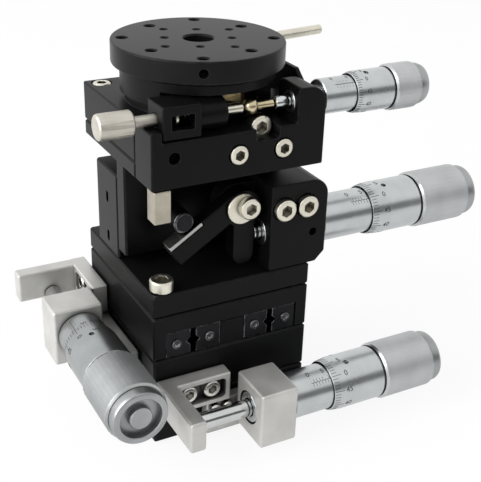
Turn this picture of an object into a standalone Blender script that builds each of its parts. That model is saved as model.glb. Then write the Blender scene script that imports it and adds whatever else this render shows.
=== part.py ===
# Three-axis positioning stage with a fine rotation head: two crossed-roller slides
# under a vertical slide that a micrometer lifts through a bell crank, and on top a
# round platform that a fourth micrometer turns through a tangent arm.
# Metres, +Z up. The origin is the centre of the base's underside; the X micrometer
# points to +X and the Y micrometer to -Y.
import math

import bmesh
import bpy
from mathutils import Euler, Matrix, Vector

MM = 0.001
MERGE = 0.00002
BIG_SIDES = 40
ROUND_SIDES = 20
SMALL_SIDES = 14
TINY_SIDES = 10
ROLLER_SIDES = 8

# Body: four square plates and a column, all as wide as the body
BODY = 50.0 * MM
EDGE_ROUND = 0.5 * MM
SEAT_GAP = 0.3 * MM
OVERRUN = 4.0 * MM
OVERLAP = 1.0 * MM
BASE_HEIGHT = 14.0 * MM
CARRIAGE_HEIGHT = 13.7 * MM
Z_BASE_HEIGHT = 6.7 * MM
COLUMN_HEIGHT = 26.2 * MM
COLUMN_DEPTH = 16.0 * MM
HALF = BODY / 2
MIDDLE_BOTTOM = BASE_HEIGHT + SEAT_GAP
MIDDLE_TOP = MIDDLE_BOTTOM + CARRIAGE_HEIGHT
TOP_BOTTOM = MIDDLE_TOP + SEAT_GAP
TOP_TOP = TOP_BOTTOM + CARRIAGE_HEIGHT
Z_BASE_BOTTOM = TOP_TOP + SEAT_GAP
Z_BASE_TOP = Z_BASE_BOTTOM + Z_BASE_HEIGHT
COLUMN_BOTTOM = Z_BASE_TOP + SEAT_GAP
COLUMN_TOP = COLUMN_BOTTOM + COLUMN_HEIGHT

# Mounting holes in the underside
MOUNT_HOLE_RADIUS = 1.7 * MM
MOUNT_HOLE_DEPTH = 8.0 * MM
MOUNT_HOLE_PITCH = 32.0 * MM

# Crossed-roller slides: two rails and a roller cage on each side of a middle boss
RAIL_WIDTH = 7.6 * MM
RAIL_HEIGHT = 8.0 * MM
RAIL_SPACE = 1.8 * MM
BOSS_HALF = 3.7 * MM
ROLLER_SIZE = 2.4 * MM
ROLLER_PITCH = 5.0 * MM
ROLLER_COUNT = 7
CAGE_THICKNESS = 0.8 * MM
CAGE_HEIGHT = 4.6 * MM
CAGE_LENGTH = 38.0 * MM
RAIL_INSET = 0.5 * MM
FLAT_TRAVEL = 6.5 * MM
INNER_NEAR = BOSS_HALF + SEAT_GAP
INNER_FAR = INNER_NEAR + RAIL_WIDTH
TRACK = INNER_FAR + RAIL_SPACE / 2
OUTER_NEAR = INNER_FAR + RAIL_SPACE
OUTER_FAR = OUTER_NEAR + RAIL_WIDTH
CHANNEL_HALF = OUTER_FAR + SEAT_GAP
CHANNEL_DEPTH = RAIL_HEIGHT + SEAT_GAP
RAIL_LENGTH = BODY - 2 * RAIL_INSET
GROOVE_DEPTH = (ROLLER_SIZE + 2 * SEAT_GAP) / math.sqrt(2) - RAIL_SPACE / 2
RAIL_MIDDLE = SEAT_GAP + RAIL_HEIGHT / 2

# Screws: head radius, head length, shank radius
HEX_SHARE = 0.56
HEX_DEPTH_SHARE = 0.55
HEAD_EDGE = 0.3 * MM
CAP_HEAD_RADIUS = 2.75 * MM
CAP_HEAD_LENGTH = 2.9 * MM
CAP_SHANK_RADIUS = 1.3 * MM
LARGE_HEAD_RADIUS = 3.45 * MM
LARGE_HEAD_LENGTH = 4.2 * MM
LARGE_SHANK_RADIUS = 1.5 * MM
TINY_SHANK_RADIUS = 0.95 * MM

# Horizontal drives. Lengths along the drive (t), out from the body's middle (n) and
# up from the stage's own bottom; the two drives share the brackets.
STAGE_RISE = BASE_HEIGHT
AXIS_OUT = 38.0 * MM
AXIS_UP = 14.0 * MM
X_ARM = -19.6 * MM
X_BLOCK = -1.2 * MM
X_JOINT = 23.8 * MM
Y_ARM = -26.2 * MM
Y_BLOCK = -11.0 * MM
Y_JOINT = 8.0 * MM
ARM_THICKNESS = 4.8 * MM
ARM_OUT = 48.5 * MM
ANVIL_BOTTOM = 12.5 * MM
ANVIL_TOP = 22.0 * MM
ANVIL_LENGTH = 21.4 * MM
ANVIL_THICKNESS = 5.0 * MM
LIP = 1.5 * MM
POCKET_DEPTH = 3.4 * MM
ANVIL_SCREW_FIRST = 3.6 * MM
ANVIL_SCREW_PITCH = 7.4 * MM
ANVIL_GRIP = 2.4 * MM
BRACKET_ROUND = 0.8 * MM
BLOCK_LENGTH = 11.8 * MM
BLOCK_BACK = 30.8 * MM
BLOCK_FRONT = 46.0 * MM
BLOCK_BOTTOM = 4.5 * MM
BLOCK_TOP = 22.3 * MM
FLANGE_THICKNESS = 3.7 * MM
FLANGE_BOTTOM = 1.0 * MM
FLANGE_LEFT = 8.8 * MM
FLANGE_RIGHT = 14.0 * MM
FLANGE_TOP = ANVIL_BOTTOM - SEAT_GAP
FLANGE_SCREW_UP = 10.1 * MM
FLANGE_SCREW_FIRST = 2.6 * MM
FLANGE_SCREW_PITCH = 4.0 * MM
FLANGE_GRIP = 5.0 * MM
FACE_OUT = HALF + SEAT_GAP

# The Y drive's flange hangs over the left mouth of the X slide, so the fixed rails and
# their boss end where the flange arrives at full travel
X_FIXED_LEFT = FLAT_TRAVEL + SEAT_GAP - FACE_OUT
X_FIXED_LENGTH = RAIL_LENGTH / 2 - X_FIXED_LEFT
X_FIXED_MIDDLE = X_FIXED_LEFT + X_FIXED_LENGTH / 2
X_CAGE_MIDDLE = X_FIXED_MIDDLE / 2

# Vertical slide
Z_SEAM = 0.1 * MM
Z_PLATE_THICKNESS = 5.7 * MM
Z_PLATE_CLEAR = 3.2 * MM
Z_TRAVEL_CLEAR = 4.5 * MM
UPPER_THICKNESS = 4.6 * MM
UPPER_FRONT = -13.7 * MM
Z_CAGE_LENGTH = 14.0 * MM
Z_ROLLER_COUNT = 3
Z_RAIL_CLEAR = 0.3 * MM
Z_PLATE_BOTTOM = Z_BASE_TOP + Z_PLATE_CLEAR + SEAT_GAP
UPPER_BOTTOM = COLUMN_TOP + Z_TRAVEL_CLEAR
UPPER_TOP = UPPER_BOTTOM + UPPER_THICKNESS
Z_PLATE_FRONT = Z_SEAM - Z_PLATE_THICKNESS
SLOT_UPPER = 16.9 * MM
SLOT_LOWER = 4.4 * MM
SLOT_Y = 8.1 * MM
SLOT_RADIUS = 0.9 * MM
SLOT_LENGTH = 3.4 * MM
SLOT_DEPTH = 2.0 * MM

# Vertical micrometer block, lever and lift pin
Z_BLOCK_LEFT = 11.3 * MM
Z_BLOCK_RIGHT = 29.9 * MM
Z_BLOCK_DEPTH = 16.0 * MM
Z_BLOCK_ROUND = 5.0 * MM
Z_BLOCK_CUT = 3.0 * MM
Z_AXIS_Y = -17.2 * MM
Z_AXIS_UP = 10.0 * MM
Z_JOINT = 47.1 * MM
EAR_THICKNESS = 5.4 * MM
EAR_RADIUS = 5.8 * MM
EAR_LEG = 10.0 * MM
PIVOT_X = 5.3 * MM
PIVOT_UP = 18.9 * MM
Z_SCREW_FIRST_X = 15.2 * MM
Z_SCREW_PITCH = 7.3 * MM
Z_SCREW_UP = 19.3 * MM
Z_SCREW_LENGTH = 9.0 * MM
Z_SCREW_SINK = 2.6 * MM
SET_HOLE_X = 25.4 * MM
SET_HOLE_UP = 10.3 * MM
SET_HOLE_RADIUS = 1.3 * MM
SET_HOLE_DEPTH = 3.0 * MM
LEVER_THICKNESS = 5.0 * MM
HUB_RADIUS = 5.5 * MM
PIVOT_BORE = 2.6 * MM
LEFT_ARM_ANGLE = math.radians(212.8)
LEFT_ARM_LENGTH = 24.0 * MM
LEFT_ARM_WIDTH = 7.0 * MM
LEFT_ARM_RISE = 5.84 * MM
RIGHT_ARM_HALF = 3.2 * MM
RIGHT_ARM_SHIFT = 0.2 * MM
RIGHT_ARM_DROP = 14.1 * MM
FOOT_GAP = 0.45 * MM
STRIP_THICKNESS = 1.0 * MM
STRIP_START = 12.0 * MM
STRIP_END = 23.6 * MM
LIFT_PIN_RADIUS = 3.0 * MM
LIFT_PIN_X = -13.0 * MM
LIFT_PIN_SINK = 2.6 * MM
WASHER_RADIUS = 5.0 * MM
WASHER_THICKNESS = 0.9 * MM
PIVOT_HEAD_RADIUS = 3.2 * MM
PIVOT_HEAD_LENGTH = 2.6 * MM
PIVOT_GRIP = 3.6 * MM
POST_SIDE = 4.9 * MM
POST_LENGTH = 10.5 * MM
POST_INSET = 0.8 * MM
CORNER_SCREW_X = 20.9 * MM
CORNER_SCREW_FRONT = -21.5 * MM
CORNER_SCREW_BACK = 21.0 * MM
CORNER_GRIP = 3.8 * MM

# Rotation head
ROTARY_HEIGHT = 11.3 * MM
NECK_RADIUS = 20.6 * MM
NECK_HEIGHT = 2.5 * MM
COLLAR_RADIUS = 21.8 * MM
COLLAR_BORE = 14.0 * MM
COLLAR_HEIGHT = 9.6 * MM
COLLAR_RIM = 2.9 * MM
COLLAR_FLAT = 0.5 * MM
WINDOW_FROM = math.radians(-80.0)
WINDOW_TO = math.radians(-28.0)
SPIGOT_RADIUS = 10.0 * MM
PLATFORM_RADIUS = 24.2 * MM
PLATFORM_THICKNESS = 6.3 * MM
PLATFORM_LIFT = 0.4 * MM
PLATFORM_BORE = 4.2 * MM
SPIGOT_CLEAR = 1.3 * MM
RING_RADIUS = 20.9 * MM
SECOND_RING_RADIUS = 18.6 * MM
PLATFORM_TURN = math.radians(-22.2)
TAP_RADIUS = 1.6 * MM
SMALL_TAP_RADIUS = 1.1 * MM
TAP_DEPTH = 4.5 * MM
GRID_PITCH = 9.3 * MM
RIM_SCREW_ANGLE = math.radians(-112.2)
RIM_SCREW_RADIUS = 1.3 * MM
RIM_SCREW_DEPTH = 4.0 * MM
HANDLE_ANGLE = math.radians(9.0)
HANDLE_RADIUS = 1.4 * MM
HANDLE_END = 44.5 * MM
HANDLE_SINK = 4.0 * MM
ROTARY_BOTTOM = UPPER_TOP + SEAT_GAP
ROTARY_TOP = ROTARY_BOTTOM + ROTARY_HEIGHT
COLLAR_TOP = ROTARY_TOP + COLLAR_HEIGHT
PLATFORM_BOTTOM = COLLAR_TOP + PLATFORM_LIFT
PLATFORM_TOP = PLATFORM_BOTTOM + PLATFORM_THICKNESS
SPIGOT_BOTTOM = ROTARY_BOTTOM + SPIGOT_CLEAR

# Tangent arm and its ball
ARM_FLOOR = ROTARY_TOP + SEAT_GAP
ARM_PLATE = 2.4 * MM
CLAMP_BORE = SPIGOT_RADIUS + SEAT_GAP
CLAMP_RADIUS = 13.7 * MM
CLAMP_MIDDLE = 12.4 * MM
CLAMP_HEIGHT = 8.8 * MM
ARM_LEFT = 7.8 * MM
ARM_RIGHT = 13.2 * MM
ARM_END = -22.0 * MM
ARM_LEFT_BEND = -14.5 * MM
ARM_RIGHT_BEND = -12.0 * MM
ARM_FROM = math.radians(-78.0)
ARM_TO = math.radians(-35.0)
BALL_RADIUS = 2.2 * MM
BALL_X = 6.2 * MM
FINE_Y = -19.5 * MM
FINE_UP = 1.5 * MM
FINE_Z = ARM_FLOOR + FINE_UP

# Front bracket: micrometer holder, notch, screws and rib
FRONT_THICKNESS = 11.0 * MM
FRONT_RIGHT = 27.0 * MM
FRONT_LEDGE = 4.8 * MM
FRONT_EAR_WIDTH = 3.2 * MM
HOLDER_LEFT = 18.0 * MM
HOLDER_RISE = 5.0 * MM
HOLDER_ROUND = 5.0 * MM
FRONT_CORNER = 1.5 * MM
NOTCH_LEFT = 3.4 * MM
NOTCH_RIGHT = 10.6 * MM
NOTCH_DEPTH = 7.8 * MM
NOTCH_BELOW = 3.6 * MM
BIG_SCREW_X = 7.0 * MM
BIG_SCREW_UP = 6.1 * MM
BIG_SCREW_HEAD = 3.3 * MM
BIG_SCREW_LENGTH = 4.0 * MM
FRONT_SCREW_UP = 2.0 * MM
FRONT_SCREW_LEFT = 0.3 * MM
FRONT_SCREW_RIGHT = 14.0 * MM
FRONT_SCREW_SINK = 2.4 * MM
FRONT_GRIP = 2.2 * MM
BLIND_HOLE_X = -18.5 * MM
BLIND_HOLE_UP = 3.9 * MM
BLIND_HOLE_RADIUS = 1.7 * MM
RIB_THICKNESS = 1.4 * MM
RIB_BACK = 2.0 * MM
RIB_TOP = 6.0 * MM
RIB_SLOPE = 4.0 * MM
RIB_STEP = 7.0 * MM
ROTARY_SCREW_X = 20.7 * MM
ROTARY_SCREW_Y = 21.2 * MM
ROTARY_SCREW_SINK = 3.1 * MM

# Fine drive: plunger housing, spring, seat and thumbscrew on one axis
HOUSING_LEFT = -21.5 * MM
HOUSING_RIGHT = -10.5 * MM
HOUSING_HALF = 5.0 * MM
HOUSING_RISE = 4.5 * MM
BARREL_RADIUS = 4.2 * MM
BARREL_END = -2.2 * MM
HOUSING_BORE = 3.0 * MM
HOUSING_WALL = 1.5 * MM
WINDOW_LEFT = -19.0 * MM
WINDOW_RIGHT = -12.5 * MM
WINDOW_HALF = 2.0 * MM
ROD_RADIUS = 1.5 * MM
ROD_TAIL = -10.0 * MM
ROD_FLANGE_RADIUS = 2.6 * MM
ROD_FLANGE = -8.0 * MM
ROD_FLANGE_THICKNESS = 1.0 * MM
SPRING_RADIUS = 2.15 * MM
SPRING_WIRE = 0.25 * MM
SPRING_TURNS = 4
SPRING_LENGTH = 4.2 * MM
SPRING_STEPS = 10
SEAT_RADIUS = 2.7 * MM
SEAT_LEFT = -16.8 * MM
SEAT_THICKNESS = 1.0 * MM
THUMB_SHAFT = 1.6 * MM
THUMB_KNOB_RADIUS = 3.7 * MM
THUMB_KNOB_LEFT = -39.0 * MM
THUMB_KNOB_RIGHT = -28.0 * MM
FINE_JOINT = 37.5 * MM

# Micrometers: the large one on three axes, the small one on the rotation
LARGE = {
    "sides": ROUND_SIDES,
    "spindle": 2.5 * MM,
    "stem": 4.75 * MM,
    "sleeve": 6.9 * MM,
    "inside": 12.0 * MM,
    "edge": 7.5 * MM,
    "barrel": 8.0 * MM,
    "bevel": 3.5 * MM,
    "barrel_end": 17.5 * MM,
    "groove": 0.6 * MM,
    "groove_depth": 0.6 * MM,
    "grip": 8.7 * MM,
    "grip_end": 36.0 * MM,
    "grip_edge": 0.6 * MM,
    "cavity": 20.0 * MM,
    "tail": 30.0 * MM,
    "cap": 7.9 * MM,
    "cap_length": 3.2 * MM,
    "cap_edge": 0.9 * MM,
    "ring": 5.9 * MM,
    "button": 3.2 * MM,
    "ring_depth": 0.9 * MM,
}
SMALL = {
    "sides": 18,
    "spindle": 1.75 * MM,
    "stem": 3.4 * MM,
    "sleeve": 5.0 * MM,
    "inside": 8.0 * MM,
    "edge": 5.6 * MM,
    "barrel": 6.0 * MM,
    "bevel": 2.4 * MM,
    "barrel_end": 12.2 * MM,
    "groove": 0.5 * MM,
    "groove_depth": 0.5 * MM,
    "grip": 6.7 * MM,
    "grip_end": 21.6 * MM,
    "grip_edge": 0.5 * MM,
    "cavity": 11.5 * MM,
    "tail": 19.0 * MM,
    "cap": 6.0 * MM,
    "cap_length": 3.4 * MM,
    "cap_edge": 1.6 * MM,
    "ring": 3.2 * MM,
    "button": 1.8 * MM,
    "ring_depth": 0.5 * MM,
}
TIP_EDGE = 0.4 * MM

FLAT = Matrix.Identity(4)
ALONG_X = (0, math.pi / 2, 0)
ALONG_Z = (0, 0, 0)
TOWARD_FRONT = (math.pi / 2, 0, 0)
UPRIGHT = (math.pi / 2, 0, 0)
ACROSS = (math.pi / 2, 0, math.pi / 2)


def clear_scene():
    for thing in list(bpy.data.objects):
        bpy.data.objects.remove(thing, do_unlink=True)


def collection(name):
    group = bpy.data.collections.new(name)
    bpy.context.scene.collection.children.link(group)
    return group


def finish(name, colour, roughness, metallic):
    """One Principled material."""
    made = bpy.data.materials.new(name)
    made.use_nodes = True
    shader = made.node_tree.nodes["Principled BSDF"]
    shader.inputs["Base Color"].default_value = (*colour, 1.0)
    shader.inputs["Roughness"].default_value = roughness
    shader.inputs["Metallic"].default_value = metallic
    made.diffuse_color = (*colour, 1.0)
    return made


clear_scene()
PARTS = collection("xyz_rotation_stage")
CUTTERS = collection("cutters")
FRAMES = collection("frames")


def place(thing, location, rotation=(0, 0, 0), frame=FLAT):
    """Puts an object at a location and rotation given in a frame."""
    spot = Matrix.Translation(Vector(location)) @ Euler(rotation).to_matrix().to_4x4()
    thing.matrix_world = frame @ spot
    return thing


def body_frame(name, location):
    """The empty that a moving body's pieces ride on, on its joint's axis."""
    made = bpy.data.objects.new(name, None)
    made.empty_display_size = BASE_HEIGHT
    FRAMES.objects.link(made)
    made.location = location
    return made


def ride(thing, carrier):
    """Parents an object and leaves it where it is."""
    thing.parent = carrier
    thing.matrix_parent_inverse = carrier.matrix_world.inverted()


def shade(mesh):
    mesh.shade_smooth()
    mesh.set_sharp_from_angle(angle=math.radians(35))


def from_bmesh(name, shape, group=None):
    mesh = bpy.data.meshes.new(name)
    shape.to_mesh(mesh)
    shape.free()
    made = bpy.data.objects.new(name, mesh)
    (group or PARTS).objects.link(made)
    return made


def block(name, low, high, frame=FLAT, rounding=0.0, group=None):
    """A box between two corners, with rounded edges if asked."""
    low = Vector(low)
    high = Vector(high)
    shape = bmesh.new()
    bmesh.ops.create_cube(shape, size=1.0)
    bmesh.ops.scale(shape, vec=high - low, verts=shape.verts)
    made = from_bmesh(name, shape, group)
    place(made, (low + high) / 2, frame=frame)
    if rounding:
        bevel(made, rounding, 2 if rounding > EDGE_ROUND else 1)
    return made


def bevel(made, width, segments=1):
    edge = made.modifiers.new("Rounded edges", "BEVEL")
    edge.width = width
    edge.segments = segments
    edge.limit_method = "ANGLE"
    edge.angle_limit = math.radians(40)


def rod(name, radius, low, high, location, rotation=ALONG_Z, frame=FLAT, sides=SMALL_SIDES, group=None):
    """A plain cylinder along its own Z, from low to high."""
    shape = bmesh.new()
    bmesh.ops.create_cone(
        shape, cap_ends=True, segments=sides, radius1=radius, radius2=radius, depth=high - low
    )
    bmesh.ops.translate(shape, vec=(0, 0, (low + high) / 2), verts=shape.verts)
    made = from_bmesh(name, shape, group)
    shade(made.data)
    return place(made, location, rotation, frame)


def turned(name, profile, location, rotation=ALONG_Z, frame=FLAT, sides=ROUND_SIDES, group=None):
    """A turned piece: (radius, height) points down the outer side, closed if it has a bore."""
    mesh = bpy.data.meshes.new(name)
    count = len(profile)
    edges = [(index, index + 1) for index in range(count - 1)]
    if profile[0][0] > 0:
        edges.append((count - 1, 0))
    mesh.from_pydata([(radius, 0, height) for radius, height in profile], edges, [])
    made = bpy.data.objects.new(name, mesh)
    (group or PARTS).objects.link(made)
    screw = made.modifiers.new("Turned", "SCREW")
    screw.axis = "Z"
    screw.steps = sides
    screw.render_steps = sides
    screw.use_merge_vertices = True
    screw.merge_threshold = MERGE
    screw.use_smooth_shade = True
    return place(made, location, rotation, frame)


def sheet(name, outline, thickness, location, rotation=ALONG_Z, frame=FLAT, group=None):
    """A flat outline extruded about its own plane, welded into one mesh."""
    curve = bpy.data.curves.new(name, "CURVE")
    curve.dimensions = "2D"
    curve.fill_mode = "BOTH"
    curve.extrude = thickness / 2
    line = curve.splines.new("POLY")
    line.points.add(len(outline) - 1)
    for point, (across, up) in zip(line.points, outline):
        point.co = (across, up, 0, 1)
    line.use_cyclic_u = True
    drawn = bpy.data.objects.new(name, curve)
    FRAMES.objects.link(drawn)
    bpy.context.view_layer.update()
    graph = bpy.context.evaluated_depsgraph_get()
    mesh = bpy.data.meshes.new_from_object(drawn.evaluated_get(graph))
    bpy.data.objects.remove(drawn)
    bpy.data.curves.remove(curve)
    shape = bmesh.new()
    shape.from_mesh(mesh)
    bpy.data.meshes.remove(mesh)
    bmesh.ops.remove_doubles(shape, verts=shape.verts, dist=MERGE)
    bmesh.ops.recalc_face_normals(shape, faces=shape.faces)
    made = from_bmesh(name, shape, group)
    return place(made, location, rotation, frame)


def use(made, tool, operation):
    tool.hide_render = True
    tool.display_type = "WIRE"
    for group in list(tool.users_collection):
        group.objects.unlink(tool)
    CUTTERS.objects.link(tool)
    ride(tool, made)
    step = made.modifiers.new(tool.name, "BOOLEAN")
    step.operation = operation
    step.object = tool
    step.solver = "EXACT"


def cut(made, *tools):
    for tool in tools:
        use(made, tool, "DIFFERENCE")


def join(made, *tools):
    for tool in tools:
        use(made, tool, "UNION")


def drill(made, radius, depth, location, rotation=ALONG_Z, frame=FLAT, sides=TINY_SIDES):
    """A hole that runs down its own -Z from a point on the surface."""
    cut(made, rod("drill", radius, -depth, OVERRUN, location, rotation, frame, sides, CUTTERS))


def merged(name, pieces):
    """Several solids as one tool, still separate from each other."""
    bpy.context.view_layer.update()
    graph = bpy.context.evaluated_depsgraph_get()
    whole = bmesh.new()
    for piece in pieces:
        mesh = bpy.data.meshes.new_from_object(piece.evaluated_get(graph))
        mesh.transform(piece.matrix_world)
        whole.from_mesh(mesh)
        bpy.data.meshes.remove(mesh)
    for piece in pieces:
        bpy.data.objects.remove(piece)
    made = from_bmesh(name, whole)
    shade(made.data)
    return made


def dress(made, look):
    made.data.materials.clear()
    made.data.materials.append(look)
    return made


def screw(name, location, rotation, head, length, shank, grip):
    """A socket head cap screw: its seat at the location, its head along its own +Z."""
    profile = [
        (0, length),
        (head - HEAD_EDGE, length),
        (head, length - HEAD_EDGE),
        (head, 0),
        (shank, 0),
        (shank, -grip),
        (0, -grip),
    ]
    made = turned(name, profile, location, rotation, sides=SMALL_SIDES)
    floor = length * (1 - HEX_DEPTH_SHARE)
    cut(made, rod("socket", head * HEX_SHARE, floor, length + OVERRUN, location, rotation, sides=6))
    return made


def rail_outline(near, far, groove_at_far, side):
    """A rail's section: a rectangle with a V groove in one flank."""
    low = SEAT_GAP
    high = SEAT_GAP + RAIL_HEIGHT
    outline = [(near, low), (far, low)]
    if groove_at_far:
        outline += [
            (far, RAIL_MIDDLE - GROOVE_DEPTH),
            (far - GROOVE_DEPTH, RAIL_MIDDLE),
            (far, RAIL_MIDDLE + GROOVE_DEPTH),
        ]
    outline += [(far, high), (near, high)]
    if not groove_at_far:
        outline += [
            (near, RAIL_MIDDLE + GROOVE_DEPTH),
            (near + GROOVE_DEPTH, RAIL_MIDDLE),
            (near, RAIL_MIDDLE - GROOVE_DEPTH),
        ]
    return [(side * across, up) for across, up in outline]


def rail_pair(name, sides, near, far, groove_at_far, frame, middle, length):
    """Two mirrored rails of a slide, travel along the frame's X."""
    pair = []
    for side, label in zip((1, -1), sides):
        outline = rail_outline(near, far, groove_at_far, side)
        pair.append(sheet(name + label, outline, length, (middle, 0, 0), ACROSS, frame))
    return pair


def roller_cages(name, sides, frame, middle, length, count):
    """Two cages: a strip with crossed rollers, each turned a quarter from the next."""
    cages = []
    for side, label in zip((1, -1), sides):
        across = side * TRACK
        low = (middle - length / 2, across - CAGE_THICKNESS / 2, RAIL_MIDDLE - CAGE_HEIGHT / 2)
        high = (middle + length / 2, across + CAGE_THICKNESS / 2, RAIL_MIDDLE + CAGE_HEIGHT / 2)
        strip = block(name + label, low, high, frame)
        rollers = []
        for index in range(count):
            along = middle + (index - (count - 1) / 2) * ROLLER_PITCH
            tilt = math.pi / 4 if index % 2 else -math.pi / 4
            spot = (along, across, RAIL_MIDDLE)
            half = ROLLER_SIZE / 2
            rollers.append(rod("roller", half, -half, half, spot, (tilt, 0, 0), frame, ROLLER_SIDES))
        join(strip, merged("rollers", rollers))
        cages.append(strip)
    return cages


def slide_frame(origin, turn):
    return Matrix.Translation(Vector(origin)) @ turn.to_4x4()


X_SLIDE = slide_frame((0, 0, BASE_HEIGHT), Matrix.Identity(3))
Y_SLIDE = slide_frame((0, 0, MIDDLE_TOP), Matrix.Rotation(math.pi / 2, 3, "Z"))
Z_SLIDE = slide_frame((0, Z_SEAM, 0), Matrix(((0, 1, 0), (0, 0, 1), (1, 0, 0))))


def boss(made, frame, low, high, root):
    """The middle boss between a slide's inner rails."""
    tool = block("boss", (low, -BOSS_HALF, -root), (high, BOSS_HALF, RAIL_HEIGHT), frame)
    join(made, tool)


def channel(made, frame, low, high):
    """The channel that takes a slide's outer rails."""
    top = SEAT_GAP + CHANNEL_DEPTH
    cut(made, block("channel", (low, -CHANNEL_HALF, -OVERRUN), (high, CHANNEL_HALF, top), frame))


X_DRIVE = FLAT
Y_DRIVE = Matrix.Translation(Vector((0, 0, STAGE_RISE))) @ Matrix.Rotation(-math.pi / 2, 4, "Z")


def anvil_screw_spots(arm):
    first = arm + ANVIL_SCREW_FIRST
    return [first, first + ANVIL_SCREW_PITCH]


def flange_screw_spots(left):
    first = left - FLANGE_SCREW_FIRST
    return [first, first - FLANGE_SCREW_PITCH]


ANVIL_SCREW_UP = (ANVIL_BOTTOM + LIP + ANVIL_TOP - LIP) / 2
ANVIL_SEAT = FACE_OUT + ANVIL_THICKNESS - POCKET_DEPTH
FLANGE_SEAT = FACE_OUT + FLANGE_THICKNESS


def anvil_bracket(name, frame, arm):
    """The L bracket on a carriage: the arm that the spindle pushes, and its pocketed flange."""
    left = arm - ARM_THICKNESS
    low = (left, -ARM_OUT, ANVIL_BOTTOM)
    made = block(name, low, (arm, -FACE_OUT, ANVIL_TOP), frame, BRACKET_ROUND)
    right = left + ANVIL_LENGTH
    front = -FACE_OUT - ANVIL_THICKNESS
    flange = block("flange", (left, front, ANVIL_BOTTOM), (right, -FACE_OUT, ANVIL_TOP), frame, EDGE_ROUND)
    join(made, flange)
    low = (arm + LIP / 2, front - OVERRUN, ANVIL_BOTTOM + LIP)
    high = (right - LIP, front + POCKET_DEPTH, ANVIL_TOP - LIP)
    cut(made, block("pocket", low, high, frame))
    for along in anvil_screw_spots(arm):
        spot = (along, -ANVIL_SEAT, ANVIL_SCREW_UP)
        drill(made, CAP_SHANK_RADIUS + SEAT_GAP, ANVIL_THICKNESS, spot, TOWARD_FRONT, frame)
    return made


def anvil_holes(made, frame, arm):
    for along in anvil_screw_spots(arm):
        spot = (along, -HALF, ANVIL_SCREW_UP)
        drill(made, CAP_SHANK_RADIUS + SEAT_GAP, ANVIL_GRIP + SEAT_GAP, spot, TOWARD_FRONT, frame)


def micrometer_block(name, frame, left):
    """The block that clamps a micrometer, its neck and the flange behind the spindle."""
    right = left + BLOCK_LENGTH
    low = (left, -BLOCK_FRONT, BLOCK_BOTTOM)
    made = block(name, low, (right, -BLOCK_BACK, BLOCK_TOP), frame, BRACKET_ROUND)
    neck_low = (left + EDGE_ROUND, -BLOCK_BACK - OVERLAP, BLOCK_BOTTOM + EDGE_ROUND)
    neck_high = (right - EDGE_ROUND, -FLANGE_SEAT + OVERLAP, FLANGE_TOP - EDGE_ROUND)
    low = (left - FLANGE_LEFT, -FLANGE_SEAT, FLANGE_BOTTOM)
    high = (right + FLANGE_RIGHT, -FACE_OUT, FLANGE_TOP)
    flange = block("flange", low, high, frame, EDGE_ROUND)
    join(made, block("neck", neck_low, neck_high, frame), flange)
    bore = rod(
        "bore",
        LARGE["stem"] + SEAT_GAP,
        -OVERRUN,
        BLOCK_LENGTH + OVERRUN,
        (left, -AXIS_OUT, AXIS_UP),
        ALONG_X,
        frame,
        ROUND_SIDES,
    )
    cut(made, bore)
    for along in flange_screw_spots(left):
        spot = (along, -FLANGE_SEAT, FLANGE_SCREW_UP)
        drill(made, TINY_SHANK_RADIUS + SEAT_GAP, FLANGE_THICKNESS * 2, spot, TOWARD_FRONT, frame)
    return made


def flange_holes(made, frame, left):
    for along in flange_screw_spots(left):
        spot = (along, -HALF, FLANGE_SCREW_UP)
        drill(made, TINY_SHANK_RADIUS + SEAT_GAP, FLANGE_GRIP + SEAT_GAP, spot, TOWARD_FRONT, frame)


def sleeve_piece(name, size, frame, stem, shoulder):
    """The fixed sleeve: its stem through the block, its barrel into the thimble."""
    bore = size["spindle"] + SEAT_GAP
    profile = [
        (size["sleeve"], size["inside"]),
        (size["sleeve"], -shoulder),
        (size["stem"], -shoulder),
        (size["stem"], -stem),
        (bore, -stem),
        (bore, size["inside"]),
    ]
    return turned(name, profile, (0, 0, 0), ALONG_X, frame, size["sides"])


def spindle_piece(name, size, frame, tip):
    radius = size["spindle"]
    profile = [
        (0, size["tail"]),
        (radius, size["tail"]),
        (radius, -tip + TIP_EDGE),
        (radius - TIP_EDGE, -tip),
        (0, -tip),
    ]
    return turned(name, profile, (0, 0, 0), ALONG_X, frame, SMALL_SIDES)


def thimble_piece(name, size, frame):
    """The turning thimble: bevelled edge, barrel, groove, grip and end cap, hollow over the sleeve."""
    grip_start = size["barrel_end"] + size["groove"]
    bore = size["sleeve"] + SEAT_GAP
    hub = size["spindle"] + SEAT_GAP
    high = size["grip_end"] + size["cap_length"]
    floor = high - size["ring_depth"]
    profile = [
        (0, high),
        (size["button"], high),
        (size["button"], floor),
        (size["ring"], floor),
        (size["ring"], high),
        (size["cap"] - size["cap_edge"], high),
        (size["cap"], high - size["cap_edge"]),
        (size["cap"], size["grip_end"]),
        (size["grip"] - size["grip_edge"], size["grip_end"]),
        (size["grip"], size["grip_end"] - size["grip_edge"]),
        (size["grip"], grip_start + size["grip_edge"]),
        (size["grip"] - size["grip_edge"], grip_start),
        (size["barrel"] - size["groove_depth"], grip_start),
        (size["barrel"] - size["groove_depth"], size["barrel_end"]),
        (size["barrel"], size["barrel_end"]),
        (size["barrel"], size["bevel"]),
        (size["edge"], 0),
        (bore, 0),
        (bore, size["cavity"]),
        (hub, size["cavity"]),
        (hub, size["tail"] + SEAT_GAP),
        (0, size["tail"] + SEAT_GAP),
    ]
    return turned(name, profile, (0, 0, 0), ALONG_X, frame, size["sides"])


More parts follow.
